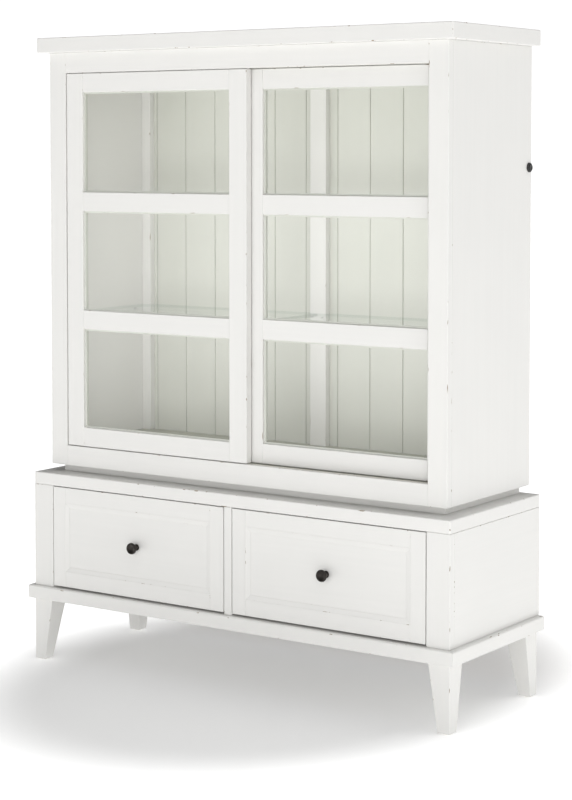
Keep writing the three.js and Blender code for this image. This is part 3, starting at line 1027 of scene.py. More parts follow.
@dataclass
class HutchCase:
    """The hutch's painted case: crown board, sides, face frame, floor, ceiling and tracks."""

    shop: Workshop
    crown_ease: float = 0.0022
    groove_ease: float = 0.001
    lining: float = 0.0011
    groove: float = 0.008
    top_groove: float = 0.009
    bottom_groove: float = 0.006

    def build(self) -> None:
        """Makes every board of the case, then the four track linings."""
        self.plain("crown_top", Run.ACROSS, Finish.WHITE, self.crown_ease)
        for side, _ in SIDES:
            self.plain(f"hutch_side_{side}", Run.UPRIGHT, Finish.WHITE)
            self.plain(f"hutch_stile_{side}", Run.UPRIGHT, Finish.WHITE)
        doors = {side: corners(f"{side}_door_frame") for side, _ in SIDES}
        front, rear = ((low[1] + high[1]) / 2 for low, high in doors.values())
        self.grooved("hutch_rail_top", front, self.top_groove, False, Finish.WHITE)
        self.grooved("hutch_rail_bottom", front, self.bottom_groove, True, Finish.WHITE)
        self.grooved("hutch_ceiling", rear, self.top_groove, False, Finish.SAGE)
        # The hutch floor takes the darker sage copy, whose colour is painted shade.
        self.grooved("hutch_floor", rear, self.bottom_groove, True, Finish.SAGE_PAINTED_SHADE_FLOOR)

    def plain(self, node: str, run: Run, finish: Finish, ease: float = EASE) -> None:
        """One straight board.

        Args:
            node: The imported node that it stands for.
            run: The axis that its grain follows.
            finish: Its finish.
            ease: The rounding of its edges.
        """
        low, high = corners(node)
        self.shop.fit(f"{node}_board", board(low, high, run, ease, seed_of(node)), finish,
                      stands_for=[node])

    def grooved(self, node: str, middle: float, depth: float, on_top: bool, finish: Finish) -> None:
        """A board with a track groove, and the lining let into the groove.

        Args:
            node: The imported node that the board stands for.
            middle: The groove's middle along Y.
            depth: The groove's depth.
            on_top: True for a groove in the top, False for one underneath.
            finish: The board's finish.
        """
        low, high = corners(node)
        face, far = (high[2], low[2]) if on_top else (low[2], high[2])
        inward = -1 if on_top else 1
        g0, g1 = middle - self.groove / 2, middle + self.groove / 2
        bed = face + inward * depth
        outline = [(low[1], far), (low[1], face), (g0, face), (g0, bed), (g1, bed), (g1, face),
                   (high[1], face), (high[1], far)]
        shape = milled(outline, (low[0], high[0]), Run.ACROSS, self.groove_ease, seed_of(node))
        self.shop.fit(f"{node}_board", shape, finish, stands_for=[node])
        skin, a0, a1 = self.lining, g0 + HAIR, g1 - HAIR
        lay = bed - inward * HAIR
        over = lay - inward * skin
        lining = [(a0, face), (a0, lay), (a1, lay), (a1, face), (a1 - skin, face),
                  (a1 - skin, over), (a0 + skin, over), (a0 + skin, face)]
        span = (low[0] + self.groove_ease, high[0] - self.groove_ease)
        self.shop.fit(f"{node}_track", milled(lining, span, Run.ACROSS, FINE_EASE), Finish.NYLON)


@dataclass
class HutchBack:
    """The beadboard back with its stiles, its screws and the outlet for the lights' lead."""

    shop: Workshop
    screw_rows: int = 7
    screw_columns: int = 6
    screw_inset: float = 0.012
    neck_share: float = 0.71
    bore_share: float = 0.47

    def build(self) -> None:
        """Dresses the grooved panel, and makes the stiles, the screws and the grommet."""
        self.shop.dress("back_panel", Finish.SAGE_PANEL)
        for place in ("left", "center", "right"):
            node = f"back_stile_{place}"
            low, high = corners(node)
            self.shop.fit(f"{node}_board", board(low, high, Run.UPRIGHT, seed=seed_of(node)),
                          Finish.WHITE, stands_for=[node])
        self.screws()
        self.grommet()

    def screws(self) -> None:
        """Screws down both edges of the panel and along its top and bottom, from behind."""
        low, high = corners("back_panel")
        inset = self.screw_inset
        edge_z = np.linspace(low[2] + 3 * inset, high[2] - 3 * inset, self.screw_rows)
        edge_x = np.linspace(low[0] + 5 * inset, high[0] - 5 * inset, self.screw_columns)
        places = [(x, z) for x in (low[0] + inset, high[0] - inset) for z in edge_z]
        places += [(x, z) for x in edge_x for z in (low[2] + inset, high[2] - inset)]
        heads = [screw((x, high[1], z), Run.DEEP, 1) for x, z in places]
        self.shop.fit("back_panel_screws", heads, Finish.STEEL)

    def grommet(self) -> None:
        """A turned black bush through the panel, with a rounded flange behind it."""
        low, high = corners("cord_grommet")
        panel_rear = corners("back_panel")[1][1]
        flange = (high[0] - low[0]) / 2
        neck, bore = flange * self.neck_share, flange * self.bore_share
        proud, deep = high[1] - panel_rear, panel_rear - low[1]
        gap = FINE_EASE
        profile = np.array([
            (bore, -deep), (neck, -deep), (neck, gap), (flange - 0.0006, gap),
            (flange, 0.0008), (flange - 0.0004, 0.6 * proud), (flange - 0.002, 0.95 * proud),
            (bore + 0.002, proud), (bore + 0.0006, 0.85 * proud), (bore, 0.5 * proud),
        ])
        centre = ((low[0] + high[0]) / 2, panel_rear, (low[2] + high[2]) / 2)
        self.shop.fit("cord_grommet_bush", Turning(profile, centre, Run.DEEP, closed=True).shell(),
                      Finish.BLACK, stands_for=["cord_grommet"])


@dataclass
class Shelving:
    """The post behind the doors' meeting, the glass shelves and the pins that carry them."""

    shop: Workshop
    pin_radius: float = 0.0025
    pin_length: float = 0.010
    pin_inset: float = 0.035
    post_pin: float = 0.012
    stile_pin: float = 0.016
    post_ease: float = 0.0015
    clear: float = 0.0015
    ease: float = 0.0007

    def build(self) -> None:
        """Makes the post, then each pane of each shelf with its four pins."""
        low, high = corners("center_post")
        self.shop.fit("center_post_board",
                      board(low, high, Run.UPRIGHT, self.post_ease, seed_of("center_post")),
                      Finish.SAGE, stands_for=["center_post"])
        for level in ("lower", "upper"):
            for side, sign in SIDES:
                self.pane(f"glass_shelf_{level}_{side}", sign)

    def pane(self, node: str, sign: int) -> None:
        """One pane, notched round the stiles behind it, on a pin near each corner.

        Args:
            node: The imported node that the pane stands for.
            sign: -1 for a pane on the left and 1 for one on the right.
        """
        low, high = corners(node)
        inner, outer = sorted((low[0], high[0]), key=abs)
        clear = self.clear
        centre_stile = sign * (corners("back_stile_center")[1][0] + clear)
        side = "left" if sign < 0 else "right"
        stile_low, stile_high = corners(f"back_stile_{side}")
        corner = (stile_high[0] if sign < 0 else stile_low[0]) - sign * clear
        notch = stile_low[1] - clear
        outline = [(inner, low[1]), (outer, low[1]), (outer, notch), (corner, notch),
                   (corner, high[1]), (centre_stile, high[1]), (centre_stile, notch),
                   (inner, notch)]
        shape = milled(outline, (low[2], high[2]), Run.UPRIGHT, self.ease, seed_of(node))
        self.shop.fit(f"{node}_pane", shape, Finish.GLASS, stands_for=[node],
                      rim=Finish.GLASS_EDGE)
        under = low[2] - self.pin_radius - HAIR
        wall = outer + sign * clear
        post_rear, stile_face = corners("center_post")[1][1], stile_low[1]
        near_post, near_stile = self.post_pin * sign, self.stile_pin * sign
        pins = [
            self.pin((wall, low[1] + self.pin_inset, under), Run.ACROSS, -sign),
            self.pin((wall, notch - self.pin_inset, under), Run.ACROSS, -sign),
            self.pin((near_post, post_rear, under), Run.DEEP, 1),
            self.pin((near_stile, stile_face, under), Run.DEEP, -1),
        ]
        self.shop.fit(f"{node}_pins", pins, Finish.STEEL)

    def pin(self, foot: Point, axis: Run, way: int) -> Shell:
        """A turned pin with a domed end.

        Args:
            foot: Where its axis meets the wood.
            axis: The axis that it points along.
            way: 1 or -1, the way it points.

        Returns:
            The pin.
        """
        radius, length = self.pin_radius, self.pin_length
        tip = [(share * radius, length - back) for share, back in PIN_TIP]
        profile = softened([(radius, 0), (radius, 2 * HAIR), *tip], 1)
        return Turning(profile, foot, axis, way, 20).shell()


@dataclass
class Lighting:
    """The two round lights under the ceiling, and the touch switch on the right side."""

    shop: Workshop
    ring: float = 0.006

    def build(self) -> None:
        """Makes each light's ring and lens, then the switch."""
        for side, _ in SIDES:
            node = f"puck_light_{side}"
            low, high = corners(node)
            centre = ((low[0] + high[0]) / 2, (low[1] + high[1]) / 2, high[2])
            radius, height = (high[0] - low[0]) / 2, high[2] - low[2]
            glass = radius - self.ring
            body = softened([
                (CORE, 0), *stepped(LIGHT_BODY, radius, height),
                *stepped(LIGHT_LIP, glass, height), (CORE, 0.8 * height),
            ])
            self.shop.fit(f"{node}_ring", Turning(body, centre, Run.UPRIGHT, -1).shell(),
                          Finish.BRONZE, stands_for=[node])
            lens = softened([
                *stepped(LENS_EDGE, glass, height), (0.8 * glass, 0.94 * height),
                (0.4 * glass, 0.97 * height), (CORE, 0.98 * height),
            ])
            self.shop.fit(f"{node}_lens", Turning(lens, centre, Run.UPRIGHT, -1).shell(),
                          Finish.LENS)
        self.switch()

    def switch(self) -> None:
        """A dished button standing in a low collar."""
        low, high = corners("light_switch")
        radius, rise = (high[2] - low[2]) / 2, high[0] - low[0]
        centre = (low[0], (low[1] + high[1]) / 2, (low[2] + high[2]) / 2)
        collar = softened([*stepped(SWITCH_COLLAR, radius, rise), (CORE, 0.2 * rise)])
        button = softened([
            *stepped(SWITCH_BUTTON, radius, rise), (0.4 * radius, 0.9 * rise), (CORE, 0.86 * rise),
        ])
        self.shop.fit("light_switch_collar", Turning(collar, centre, Run.ACROSS).shell(),
                      Finish.BLACK, stands_for=["light_switch"])
        self.shop.fit("light_switch_button", Turning(button, centre, Run.ACROSS).shell(),
                      Finish.BLACK)


# ---- sliding doors ------------------------------------------------------------------------


@dataclass
class SlidingDoor:
    """One glazed door: stiles, rails, tongue, three panes held by beads, and two wheels."""

    shop: Workshop
    side: str
    panes: int = 3
    fit_gap: float = 0.00025
    tongue: float = 0.0045
    tongue_rise: float = 0.007
    tongue_ease: float = 0.0008
    bead: float = 0.0045
    bead_flat: float = 0.001
    bead_set_in: float = 0.0015
    glass_ease: float = 0.0004
    skin: float = 0.007
    notch_side: float = 0.002
    notch_top: float = 0.0025
    tread: float = 0.00225
    tread_ease: float = 0.0008
    axle_ease: float = 0.0004

    def __post_init__(self) -> None:
        """Reads the frame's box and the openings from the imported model."""
        self.body = f"{self.side}_door"
        self.node = f"{self.side}_door_frame"
        self.low, self.high = corners(self.node)
        self.openings = [corners(f"{self.side}_door_pane_{i + 1}") for i in range(self.panes)]
        fit = self.fit_gap
        self.left = float(self.openings[0][0][0]) - fit
        self.right = float(self.openings[0][1][0]) + fit
        self.levels = [(float(a[2]) - fit, float(b[2]) + fit) for a, b in self.openings]
        self.top = float(self.high[2]) - self.tongue_rise

    def build(self) -> None:
        """Makes the frame, then what it holds."""
        y0, y1 = self.low[1], self.high[1]
        for name, x0, x1 in (("left", self.low[0], self.left), ("right", self.right, self.high[0])):
            shape = board((x0, y0, self.low[2]), (x1, y1, self.top), Run.UPRIGHT,
                          seed=seed_of(self.body + name))
            self.fit(f"{name}_stile", shape, Finish.WHITE, [self.node])
        edges = [self.low[2]] + [z for level in self.levels for z in level] + [self.top]
        for i, (z0, z1) in enumerate(zip(edges[2::2], edges[3::2])):
            shape = board((self.left, y0, z0), (self.right, y1, z1), Run.ACROSS,
                          seed=seed_of(self.body) + 3 * i)
            self.fit(f"rail_{i + 2}", shape, Finish.WHITE, [self.node])
        self.bottom_rail(edges[0], edges[1])
        core = (y0 + y1) / 2
        tongue = board((self.low[0], core - self.tongue / 2, self.top),
                       (self.high[0], core + self.tongue / 2, self.high[2]), Run.ACROSS,
                       self.tongue_ease)
        self.fit("tongue", tongue, Finish.WHITE, [self.node])
        for i, (z0, z1) in enumerate(self.levels):
            self.glaze(i + 1, z0, z1)
        for i in (1, 2):
            self.wheel(i)

    def fit(self, name: str, shape: Shell | Sequence[Shell], finish: Finish,
            stands_for: Sequence[str] = (), rim: Finish | None = None) -> None:
        """Fits a piece on this door's body."""
        self.shop.fit(f"{self.side}_door_{name}", shape, finish, self.body, stands_for, rim)

    def bottom_rail(self, z0: float, z1: float) -> None:
        """The bottom rail, glued up from two skins and a core that is notched for the wheels.

        Args:
            z0: The rail's underside.
            z1: Its top.
        """
        y0, y1 = self.low[1], self.high[1]
        seed = seed_of(self.body + "rail")
        notches: list[Span] = []
        for i in (1, 2):
            low, high = corners(f"{self.side}_door_wheel_{i}")
            a, b = low[0] - self.notch_side, high[0] + self.notch_side
            top = high[2] + self.notch_top
            notches += [(z0, a), (top, a), (top, b), (z0, b)]
        outline = [(z0, self.left), *notches, (z0, self.right), (z1, self.right), (z1, self.left)]
        core = milled(outline, (y0 + self.skin, y1 - self.skin), Run.DEEP, 2 * HAIR, seed)
        skins = [
            board((self.left, a, z0), (self.right, b, z1), Run.ACROSS, self.tongue_ease, seed + i)
            for i, (a, b) in enumerate(((y0, y0 + self.skin), (y1 - self.skin, y1)))
        ]
        self.fit("rail_1", [core, *skins], Finish.WHITE, [self.node])

    def glaze(self, number: int, z0: float, z1: float) -> None:
        """One pane with a bead mitred round it on the inside.

        The bead's section is a quarter of an ellipse, widest at the glass, on a narrow flat.

        Args:
            number: The pane's number, from the bottom.
            z0: The opening's lower edge.
            z1: Its upper edge.
        """
        node = f"{self.side}_door_pane_{number}"
        low, high = corners(node)
        pane = board(low, high, Run.DEEP, self.glass_ease, seed_of(node))
        self.fit(f"glass_{number}", pane, Finish.GLASS, [node])
        wide, flat = self.bead, self.bead_flat
        deep = float(self.high[1] - high[1]) - self.bead_set_in
        turn = np.linspace(0, math.pi / 2, 5)
        curve = np.stack([flat + (wide - flat) * np.cos(turn), deep * np.sin(turn)], 1)
        section = [(0.0, 0.0), *map(tuple, curve.tolist()), (0.0, deep)]
        outer = ((z0, self.left), (z1, self.right))
        inner = ((z0 + wide, self.left + wide), (z1 - wide, self.right - wide))
        ring = Ring(outer, inner, lambda _: section, Run.DEEP, high[1] + 2 * HAIR,
                    ease=FINE_EASE, seed=seed_of(node))
        self.fit(f"bead_{number}", ring.shells(), Finish.SAGE)

    def wheel(self, number: int) -> None:
        """A nylon wheel with a rounded tread and a boss, on a steel axle.

        Args:
            number: The wheel's number, from the left.
        """
        node = f"{self.side}_door_wheel_{number}"
        low, high = corners(node)
        centre = tuple((low + high) / 2)
        radius, reach = (high[2] - low[2]) / 2, (high[1] - low[1]) / 2
        half, ease = self.tread, self.tread_ease
        body = f"{self.side}_wheel_{number}"
        hub = [(r, half + past) for r, past in WHEEL_HUB]
        outline = [*hub, (radius - ease, half), (radius, half - ease)]
        profile = np.array([(r, -h) for r, h in outline] + outline[::-1])
        tread = Turning(profile, centre, Run.DEEP, closed=True)
        self.shop.fit(f"{self.side}_door_roller_{number}", tread.shell(), Finish.NYLON, body,
                      [node])
        thick, tip = 0.98 * WHEEL_BORE, 0.6 * WHEEL_BORE
        end = reach - self.axle_ease
        rod = softened([(tip, -reach), (thick, -end), (thick, end), (tip, reach)], 1)
        self.shop.fit(f"{self.side}_door_axle_{number}", Turning(rod, centre, Run.DEEP).shell(),
                      Finish.STEEL, body)


# ---- lower cabinet ------------------------------------------------------------------------


@dataclass
class Plinths:
    """The recessed plinth under the hutch, and the mitred moulding under the lower cabinet."""

    shop: Workshop
    wall: float = 0.018
    plinth_ease: float = 0.0008
    nose: float = 0.003

    def build(self) -> None:
        """Makes both rings and the bottom board between the moulding's members."""
        low, high = corners("hutch_plinth")
        wall = self.wall
        self.ring("hutch_plinth", (low[0] + wall, low[1] + wall), (high[0] - wall, high[1] - wall),
                  self.plinth_ease, 0.0)
        inner_low, inner_high = corners("base_bottom")
        self.ring("base_moulding", tuple(inner_low[:2]), tuple(inner_high[:2]), EASE, self.nose)
        self.shop.fit("base_bottom_board",
                      board(inner_low, inner_high, Run.ACROSS, seed=seed_of("base_bottom")),
                      Finish.WHITE, stands_for=["base_bottom"])

    def ring(self, node: str, inner_low: Span, inner_high: Span, ease: float, nose: float) -> None:
        """Four members mitred at the corners.

        Args:
            node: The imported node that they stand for.
            inner_low: The opening's lowest corner, seen from above.
            inner_high: Its highest corner.
            ease: The rounding of the edges.
            nose: How far the outer top edge is cut back.
        """
        low, high = corners(node)
        height = high[2] - low[2]

        def section(width: float) -> list[tuple[float, float]]:
            """The member's outline, its outer edge first."""
            if not nose:
                return [(0, 0), (width, 0), (width, height), (0, height)]
            return [(0, 0), (width, 0), (width, height), (nose, height), (0, height - nose)]

        shape = Ring((tuple(low[:2]), tuple(high[:2])), (inner_low, inner_high), section,
                     Run.UPRIGHT, low[2], ease=ease, seed=seed_of(node))
        self.shop.fit(f"{node}_frame", shape.shells(), Finish.WHITE, stands_for=[node])


@dataclass
class LowerCase:
    """The lower cabinet's top, sides, face frame, divider and back, and the runners' packers."""

    shop: Workshop
    top_ease: float = 0.0025
    back_ease: float = 0.0005
    screw_inset: float = 0.012
    screw_count: int = 7
    packer_half: float = 0.03
    packer_ease: float = 0.001

    def build(self) -> None:
        """Makes each board in place of its node, the packers and the back's screws."""
        run_of = {"base_top": Run.ACROSS, "base_divider": Run.UPRIGHT}
        for side, _ in SIDES:
            run_of[f"base_stile_{side}"] = Run.UPRIGHT
            run_of[f"base_side_{side}"] = Run.DEEP
        for node, run in run_of.items():
            low, high = corners(node)
            ease = self.top_ease if node == "base_top" else EASE
            self.shop.fit(f"{node}_board", board(low, high, run, ease, seed_of(node)),
                          Finish.WHITE, stands_for=[node])
        low, high = corners("base_back")
        back = board(low, high, Run.ACROSS, self.back_ease, seed_of("base_back"))
        self.shop.fit("base_back_board", back, Finish.HARDBOARD, stands_for=["base_back"])
        self.screws(low, high)
        for side, sign in SIDES:
            self.packer(side, sign)

    def screws(self, low: Array, high: Array) -> None:
        """Screws round the edge of the back board.

        Args:
            low: The board's lowest corner.
            high: Its highest corner.
        """
        inset = self.screw_inset
        top = np.linspace(low[0] + inset, high[0] - inset, self.screw_count)
        places = [(x, z) for x in top for z in (low[2] + inset, high[2] - inset)]
        places += [(x, (low[2] + high[2]) / 2) for x in (top[0], top[-1])]
        heads = [screw((x, high[1], z), Run.DEEP, 1) for x, z in places]
        self.shop.fit("base_back_screws", heads, Finish.STEEL)

    def packer(self, side: str, sign: int) -> None:
        """A strip of wood that brings the runner out to the edge of the drawer's opening.

        Args:
            side: "left" or "right".
            sign: -1 for the left and 1 for the right.
        """
        stile = corners(f"base_stile_{side}")
        panel = corners(f"base_side_{side}")
        runner = corners(f"{side}_runner_outer")
        inner = stile[0][0] if sign > 0 else stile[1][0]
        outer = panel[0][0] if sign > 0 else panel[1][0]
        middle = (runner[0][2] + runner[1][2]) / 2
        low = (min(inner, outer) + HAIR, runner[0][1] + 2 * HAIR, middle - self.packer_half)
        high = (max(inner, outer) - HAIR, runner[1][1], middle + self.packer_half)
        strip = board(low, high, Run.DEEP, self.packer_ease, seed_of(side))
        self.shop.fit(f"{side}_runner_packer", strip, Finish.WOOD)


@dataclass
class Legs:
    """Four square legs, tapered on their inner faces only, each on a turned glide."""

    shop: Workshop
    foot: float = 0.033
    glide: float = 0.003
    ease: float = 0.0016

    def build(self) -> None:
        """Makes each leg and its glide."""
        for end, front in (("front", True), ("back", False)):
            for side, sign in SIDES:
                self.leg(f"leg_{end}_{side}", sign, front)

    def leg(self, node: str, sign: int, front: bool) -> None:
        """A square post whose section shrinks towards its outer corner as it goes down.

        A point's distance from the leg's outer corner is multiplied by a share that goes in
        a straight line from the foot's width over the top's width, at the floor, to 1.

        Args:
            node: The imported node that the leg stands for.
            sign: -1 for a leg on the left and 1 for one on the right.
            front: True for a front leg.
        """
        low, high = corners(node)
        outer = np.array([high[0] if sign > 0 else low[0], low[1] if front else high[1]])
        base, top = low[2] + self.glide, high[2]
        least = self.foot / (high[0] - low[0])

        def taper(points: Array) -> Array:
            """Draws every point in towards the outer corner."""
            share = least + (1 - least) * (points[:, 2:] - base) / (top - base)
            return np.column_stack([outer + (points[:, :2] - outer) * share, points[:, 2]])

        post = board((low[0], low[1], base), high, Run.UPRIGHT, self.ease, seed_of(node))
        self.shop.fit(f"{node}_post", post.bent(taper), Finish.WHITE, stands_for=[node])
        inward = np.array([-sign, 1 if front else -1]) * self.foot / 2
        centre = (*(outer + inward), 0.0)
        profile = softened([*GLIDE_FOOT, (GLIDE_RADIUS, self.glide)])
        self.shop.fit(f"{node}_glide", Turning(profile, centre, Run.UPRIGHT).shell(),
                      Finish.NYLON, stands_for=[node])


# ---- drawers ------------------------------------------------------------------------------


@dataclass
class Drawer:
    """One drawer: framed front, panel, knob, wooden box and its telescopic runners."""

    shop: Workshop
    side: str
    member: float = 0.042
    slope: float = 0.012
    slope_depth: float = 0.002
    recess: float = 0.0025
    lap: float = 0.002
    wall: float = 0.012
    floor: float = 0.006
    front_ease: float = 0.0009
    panel_ease: float = 0.0008
    box_ease: float = 0.002
    knob_rim: float = 0.0008
    knob_sides: int = 64
    screw_head: float = 0.0045
    sheet: float = 0.0012
    taller: float = 0.0026
    lower: float = 0.003
    fixed_reach: Span = (0.0002, 0.009)
    middle_reach: Span = (0.003, 0.0105)
    sliding_reach: Span = (0.0128, 0.006)

    def __post_init__(self) -> None:
        """Reads the front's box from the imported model."""
        self.body = f"{self.side}_drawer"
        self.low, self.high = corners(f"{self.side}_drawer_frame")

    def fit(self, name: str, shape: Shell | Sequence[Shell], finish: Finish,
            stands_for: Sequence[str] = ()) -> None:
        """Fits a piece on this drawer's body."""
        self.shop.fit(f"{self.side}_drawer_{name}", shape, finish, self.body, stands_for)

    def build(self) -> None:
        """Makes the front, the box behind it, the knob and the runners."""
        self.front()
        self.box()
        self.knob()
        self.runners()

    def front(self) -> None:
        """Stiles from top to bottom, rails between them, and a sloped edge mitred round."""
        (x0, y0, z0), (x1, y1, z1) = self.low, self.high
        node, wide = f"{self.side}_drawer_frame", self.member
        seed = seed_of(self.body)
        for name, a, b in (("left_stile", x0, x0 + wide), ("right_stile", x1 - wide, x1)):
            shape = board((a, y0, z0), (b, y1, z1), Run.UPRIGHT, self.front_ease, seed + a)
            self.fit(name, shape, Finish.WHITE, [node])
        for name, a, b in (("bottom_rail", z0, z0 + wide), ("top_rail", z1 - wide, z1)):
            shape = board((x0 + wide, y0, a), (x1 - wide, y1, b), Run.ACROSS, self.front_ease,
                          seed + 9 * a)
            self.fit(name, shape, Finish.WHITE, [node])
        thick, lap, step = y1 - y0, self.lap, self.recess
        section = [(0.0, 2 * HAIR), (self.slope, self.slope_depth), (self.slope, step),
                   (lap, step), (lap, thick), (0.0, thick)]
        outer = ((z0 + wide, x0 + wide), (z1 - wide, x1 - wide))
        full = wide + self.slope
        inner = ((z0 + full, x0 + full), (z1 - full, x1 - full))
        ring = Ring(outer, inner, lambda _: section, Run.DEEP, y0, ease=FINE_EASE,
                    seed=seed + 5)
        self.fit("sloped_edge", ring.shells(), Finish.WHITE, [node])
        panel = f"{self.side}_drawer_panel"
        low, high = corners(panel)
        self.fit("front_panel", board(low, high, Run.ACROSS, self.panel_ease, seed + 7),
                 Finish.WHITE, [panel])

    def box(self) -> None:
        """Sides, front and back with rounded top edges, over a bottom let in between them."""
        node = f"{self.side}_drawer_box"
        (x0, y0, z0), (x1, y1, z1) = corners(node)
        wall, ease, seed = self.wall, self.box_ease, seed_of(node)
        long_walls = (("left_side", x0, x0 + wall), ("right_side", x1 - wall, x1))
        short_walls = (("box_front", y0, y0 + wall), ("box_back", y1 - wall, y1))
        for i, (name, a, b) in enumerate(long_walls):
            shape = board((a, y0, z0), (b, y1, z1), Run.DEEP, ease, seed + i)
            self.fit(name, shape, Finish.WOOD, [node])
        for i, (name, a, b) in enumerate(short_walls):
            shape = board((x0 + wall, a, z0), (x1 - wall, b, z1), Run.ACROSS, ease, seed + 3 + i)
            self.fit(name, shape, Finish.WOOD, [node])
        lift = 5 * HAIR
        bottom = board((x0 + wall, y0 + wall, z0 + lift), (x1 - wall, y1 - wall, z0 + self.floor),
                       Run.ACROSS, lift, seed + 6)
        self.fit("bottom", bottom, Finish.WOOD, [node])

    def knob(self) -> None:
        """A knob with a foot against the panel, a waist, and a head dished inside its rim."""
        node = f"{self.side}_knob"
        low, high = corners(node)
        centre = ((low[0] + high[0]) / 2, high[1], (low[2] + high[2]) / 2)
        head, rise = (high[0] - low[0]) / 2, high[1] - low[1]
        edge = [(head + past, height) for past, height in KNOB_EDGE]
        dish = [(radius, rise - sunk) for radius, sunk in KNOB_DISH]
        profile = softened([*KNOB_STEM, *edge, (head - self.knob_rim, rise - 0.0006), *dish])
        turning = Turning(profile, centre, Run.DEEP, -1, self.knob_sides)
        self.shop.fit(f"{self.side}_knob_turning", turning.shell(), Finish.BRONZE, self.body,
                      [node])
        back = corners(f"{self.side}_drawer_box")[0][1] + self.wall
        head_screw = screw((centre[0], back, centre[2]), Run.DEEP, 1, self.screw_head)
        self.fit("knob_screw", head_screw, Finish.STEEL)

    def runners(self) -> None:
        """On each side a cabinet member, a middle member and a drawer member, all C sections."""
        divider, stile = corners("base_divider"), corners(f"base_stile_{self.side}")
        sign = -1 if self.side == "left" else 1
        walls = {
            "inner": ((divider[1] if sign > 0 else divider[0])[0], sign),
            "outer": ((stile[0] if sign > 0 else stile[1])[0], -sign),
        }
        for place, (wall, facing) in walls.items():
            node = f"{self.side}_runner_{place}"
            low, high = corners(node)
            middle, half = (low[2] + high[2]) / 2, (high[2] - low[2]) / 2
            span = (low[1], high[1])
            members = (
                ("fixed", CABINET, half + self.taller, self.fixed_reach, ()),
                ("middle", f"{self.side}_runner", half, self.middle_reach, (node,)),
                ("sliding", self.body, half - self.lower, self.sliding_reach, ()),
            )
            for part, body, tall, reach, stands_for in members:
                outline = self.channel((wall, middle), facing, tall, reach)
                self.shop.fit(f"{node}_{part}", milled(outline, span, Run.DEEP, FINE_EASE),
                              Finish.STEEL, body, stands_for)

    def channel(self, origin: Span, facing: int, half: float, reach: Span) -> list[Span]:
        """A C section bent from sheet.

        Args:
            origin: The wall's x, and the z of the section's middle.
            facing: 1 or -1, the way the section stands out from the wall.
            half: Half its height.
            reach: How far its web and the tips of its lips stand from the wall.

        Returns:
            Its corners as (z, x).
        """
        (wall, middle), (web, lip) = origin, reach
        skin = self.sheet * (1 if lip > web else -1)
        inner = half - self.sheet
        bends = [(-half, lip), (-half, web), (half, web), (half, lip), (inner, lip),
                 (inner, web + skin), (-inner, web + skin), (-inner, lip)]
        return [(middle + z, wall + facing * x) for z, x in bends]


# ---- studio -------------------------------------------------------------------------------


@dataclass(frozen=True)
class Lamp:
    """A soft flat light that no camera or mirror sees."""

    name: str
    place: Point
    target: Point
    size: Span
    power: float

    def hang(self) -> None:
        """Hangs the light and turns it towards its target."""
        lamp = bpy.data.lights.new(self.name, "AREA")
        lamp.shape, lamp.energy = "RECTANGLE", self.power
        lamp.size, lamp.size_y = self.size
        holder = bpy.data.objects.new(self.name, lamp)
        holder.location = self.place
        aim = Vector(self.target) - Vector(self.place)
        holder.rotation_euler = aim.to_track_quat("-Z", "Y").to_euler()
        holder.visible_camera = holder.visible_glossy = False
        bpy.context.scene.collection.objects.link(holder)


OVERHEAD = Lamp("overhead", (0.3, -2.2, 5.6), (0.0, 0.0, 0.8), (4.5, 4.0), 21.0)
FRONT = Lamp("front", (0.6, -2.95, 0.8), (0.0, 0.0, 0.6), (1.5, 0.8), 19.5)


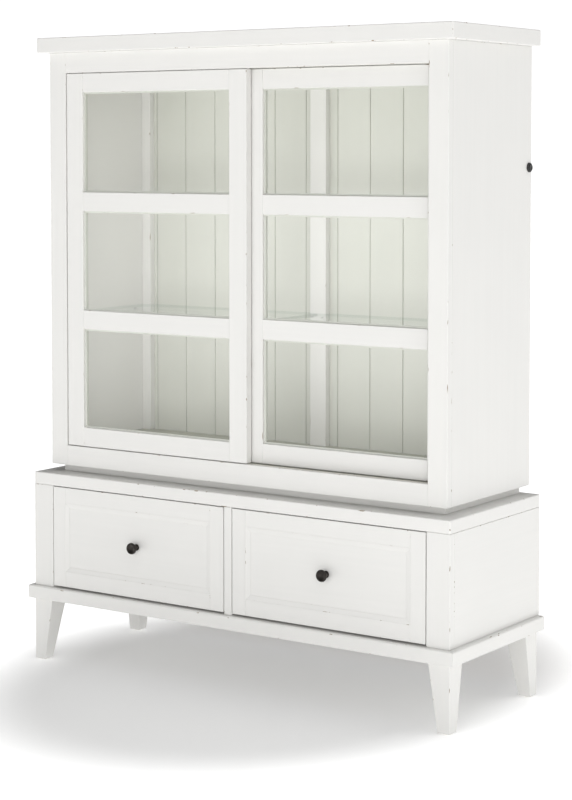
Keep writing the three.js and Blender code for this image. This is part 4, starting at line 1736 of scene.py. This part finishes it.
@dataclass
class Studio:
    """A pale seamless floor, daylight from the right, three soft lights, and the camera.

    The floor glows faintly near the cabinet and more beyond it. sky is the daylight's strength
    away from its bright side and on it, turn is where it changes from one to the other, as the
    cosine of the angle, and backdrop is the strength that the camera sees.
    """

    camera_place: Point = (3.0031, -4.2986, 1.3750)
    heading: float = 34.657
    tilt: float = 2.87
    lens: float = 91.34
    sensor: float = 36.0
    shift: float = -0.185
    clip: Span = (0.1, 200.0)
    floor_radius: float = 60.0
    floor_colour: Colour = (0.88, 0.88, 0.88)
    sky: Span = (0.11, 0.9)
    turn: Span = (-0.3, 0.9)
    bright_side: Point = (0.97, -0.15, 0.2)
    backdrop: float = 1.1
    fill: float = 2.0
    fill_share: float = 0.9
    fill_gap: float = 0.012
    bare: Span = (0.68, 1.15)
    bare_shape: Point = (1.3, 1.0, 1.0)
    glow: Span = (0.14, 0.9)

    def build(self) -> None:
        """Sets the scene round the finished cabinet."""
        self.floor()
        self.light()
        self.camera()
        bpy.context.scene.view_settings.view_transform = "Standard"
        log.info("studio ready")

    def floor(self) -> None:
        """A wide disc, a hair under the glides, with a faint glow that grows away from it."""
        turn = np.linspace(0, 2 * math.pi, 64, endpoint=False)
        radius = self.floor_radius
        under = np.full_like(turn, -2 * HAIR)
        points = np.stack([radius * np.cos(turn), radius * np.sin(turn), under], 1)
        mesh = bpy.data.meshes.new("floor")
        mesh.from_pydata(points.tolist(), [], [list(range(len(points)))])
        made = Recipe("pale_floor")
        cloudy = made.noise(made.place(False, EVEN), 1.5, 2)
        away = made.node("ShaderNodeVectorMath", operation="LENGTH")
        made.link(made.place(False, self.bare_shape), away.inputs[0])
        mesh.materials.append(made.surface(
            Base_Color=self.floor_colour,
            Roughness=made.spread(cloudy, *MOST, (0.75, 0.85)), Specular_IOR_Level=0.2,
            Emission_Color=(1.0, 1.0, 1.0),
            Emission_Strength=made.spread(away.outputs["Value"], *self.bare, self.glow),
        ))
        ground = bpy.data.objects.new("floor", mesh)
        bpy.context.scene.collection.objects.link(ground)

    def light(self) -> None:
        """Daylight that is brighter on one side, the two lamps, and a fill inside the hutch."""
        world = bpy.data.worlds.new("daylight")
        world.use_nodes = True
        tree = world.node_tree
        backdrop = tree.nodes["Background"]
        backdrop.inputs["Color"].default_value = (1.0, 1.0, 1.0, 1.0)
        facing = tree.nodes.new("ShaderNodeTexCoord").outputs["Generated"]
        share = tree.nodes.new("ShaderNodeVectorMath")
        share.operation = "DOT_PRODUCT"
        tree.links.new(facing, share.inputs[0])
        share.inputs[1].default_value = Vector(self.bright_side).normalized()
        ramp = tree.nodes.new("ShaderNodeMapRange")
        ramp.interpolation_type = "SMOOTHSTEP"
        tree.links.new(share.outputs["Value"], ramp.inputs["Value"])
        ramp.inputs["From Min"].default_value, ramp.inputs["From Max"].default_value = self.turn
        ramp.inputs["To Min"].default_value, ramp.inputs["To Max"].default_value = self.sky
        seen = tree.nodes.new("ShaderNodeMix")
        tree.links.new(tree.nodes.new("ShaderNodeLightPath").outputs["Is Camera Ray"],
                       seen.inputs[0])
        tree.links.new(ramp.outputs["Result"], seen.inputs[2])
        seen.inputs[3].default_value = self.backdrop
        tree.links.new(seen.outputs[0], backdrop.inputs["Strength"])
        bpy.context.scene.world = world
        OVERHEAD.hang()
        FRONT.hang()
        low, high = corners("back_panel")
        front = float(corners("right_door_frame")[1][1]) + self.fill_gap
        middle = float(low[2] + high[2]) / 2
        share = self.fill_share
        size = (share * float(high[0] - low[0]), share * float(high[2] - low[2]))
        Lamp("inside", (0.0, front, middle), (0.0, 1.0, middle), size, self.fill).hang()

    def camera(self) -> None:
        """A long lens at eye height, to the right of the cabinet."""
        lens = bpy.data.cameras.new("camera")
        lens.lens, lens.sensor_width, lens.shift_y = self.lens, self.sensor, self.shift
        lens.clip_start, lens.clip_end = self.clip
        holder = bpy.data.objects.new("camera", lens)
        holder.location = self.camera_place
        holder.rotation_euler = (math.radians(90 - self.tilt), 0, math.radians(self.heading))
        bpy.context.scene.collection.objects.link(holder)
        bpy.context.scene.camera = holder


def main() -> None:
    """Builds the cabinet from the floor up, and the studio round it."""
    logging.basicConfig(level=logging.INFO, format="%(name)s %(message)s")
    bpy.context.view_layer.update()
    shop = Workshop()
    assemblies = [Legs(shop), Plinths(shop), LowerCase(shop)]
    assemblies += [Drawer(shop, side) for side, _ in SIDES]
    assemblies += [HutchCase(shop), HutchBack(shop), Shelving(shop), Lighting(shop)]
    assemblies += [SlidingDoor(shop, side) for side, _ in SIDES]
    for assembly in assemblies:
        assembly.build()
        log.info("%s finished", type(assembly).__name__)
    Studio().build()
    log.info("%d pieces made", shop.count)


if __name__ == "__main__":
    main()
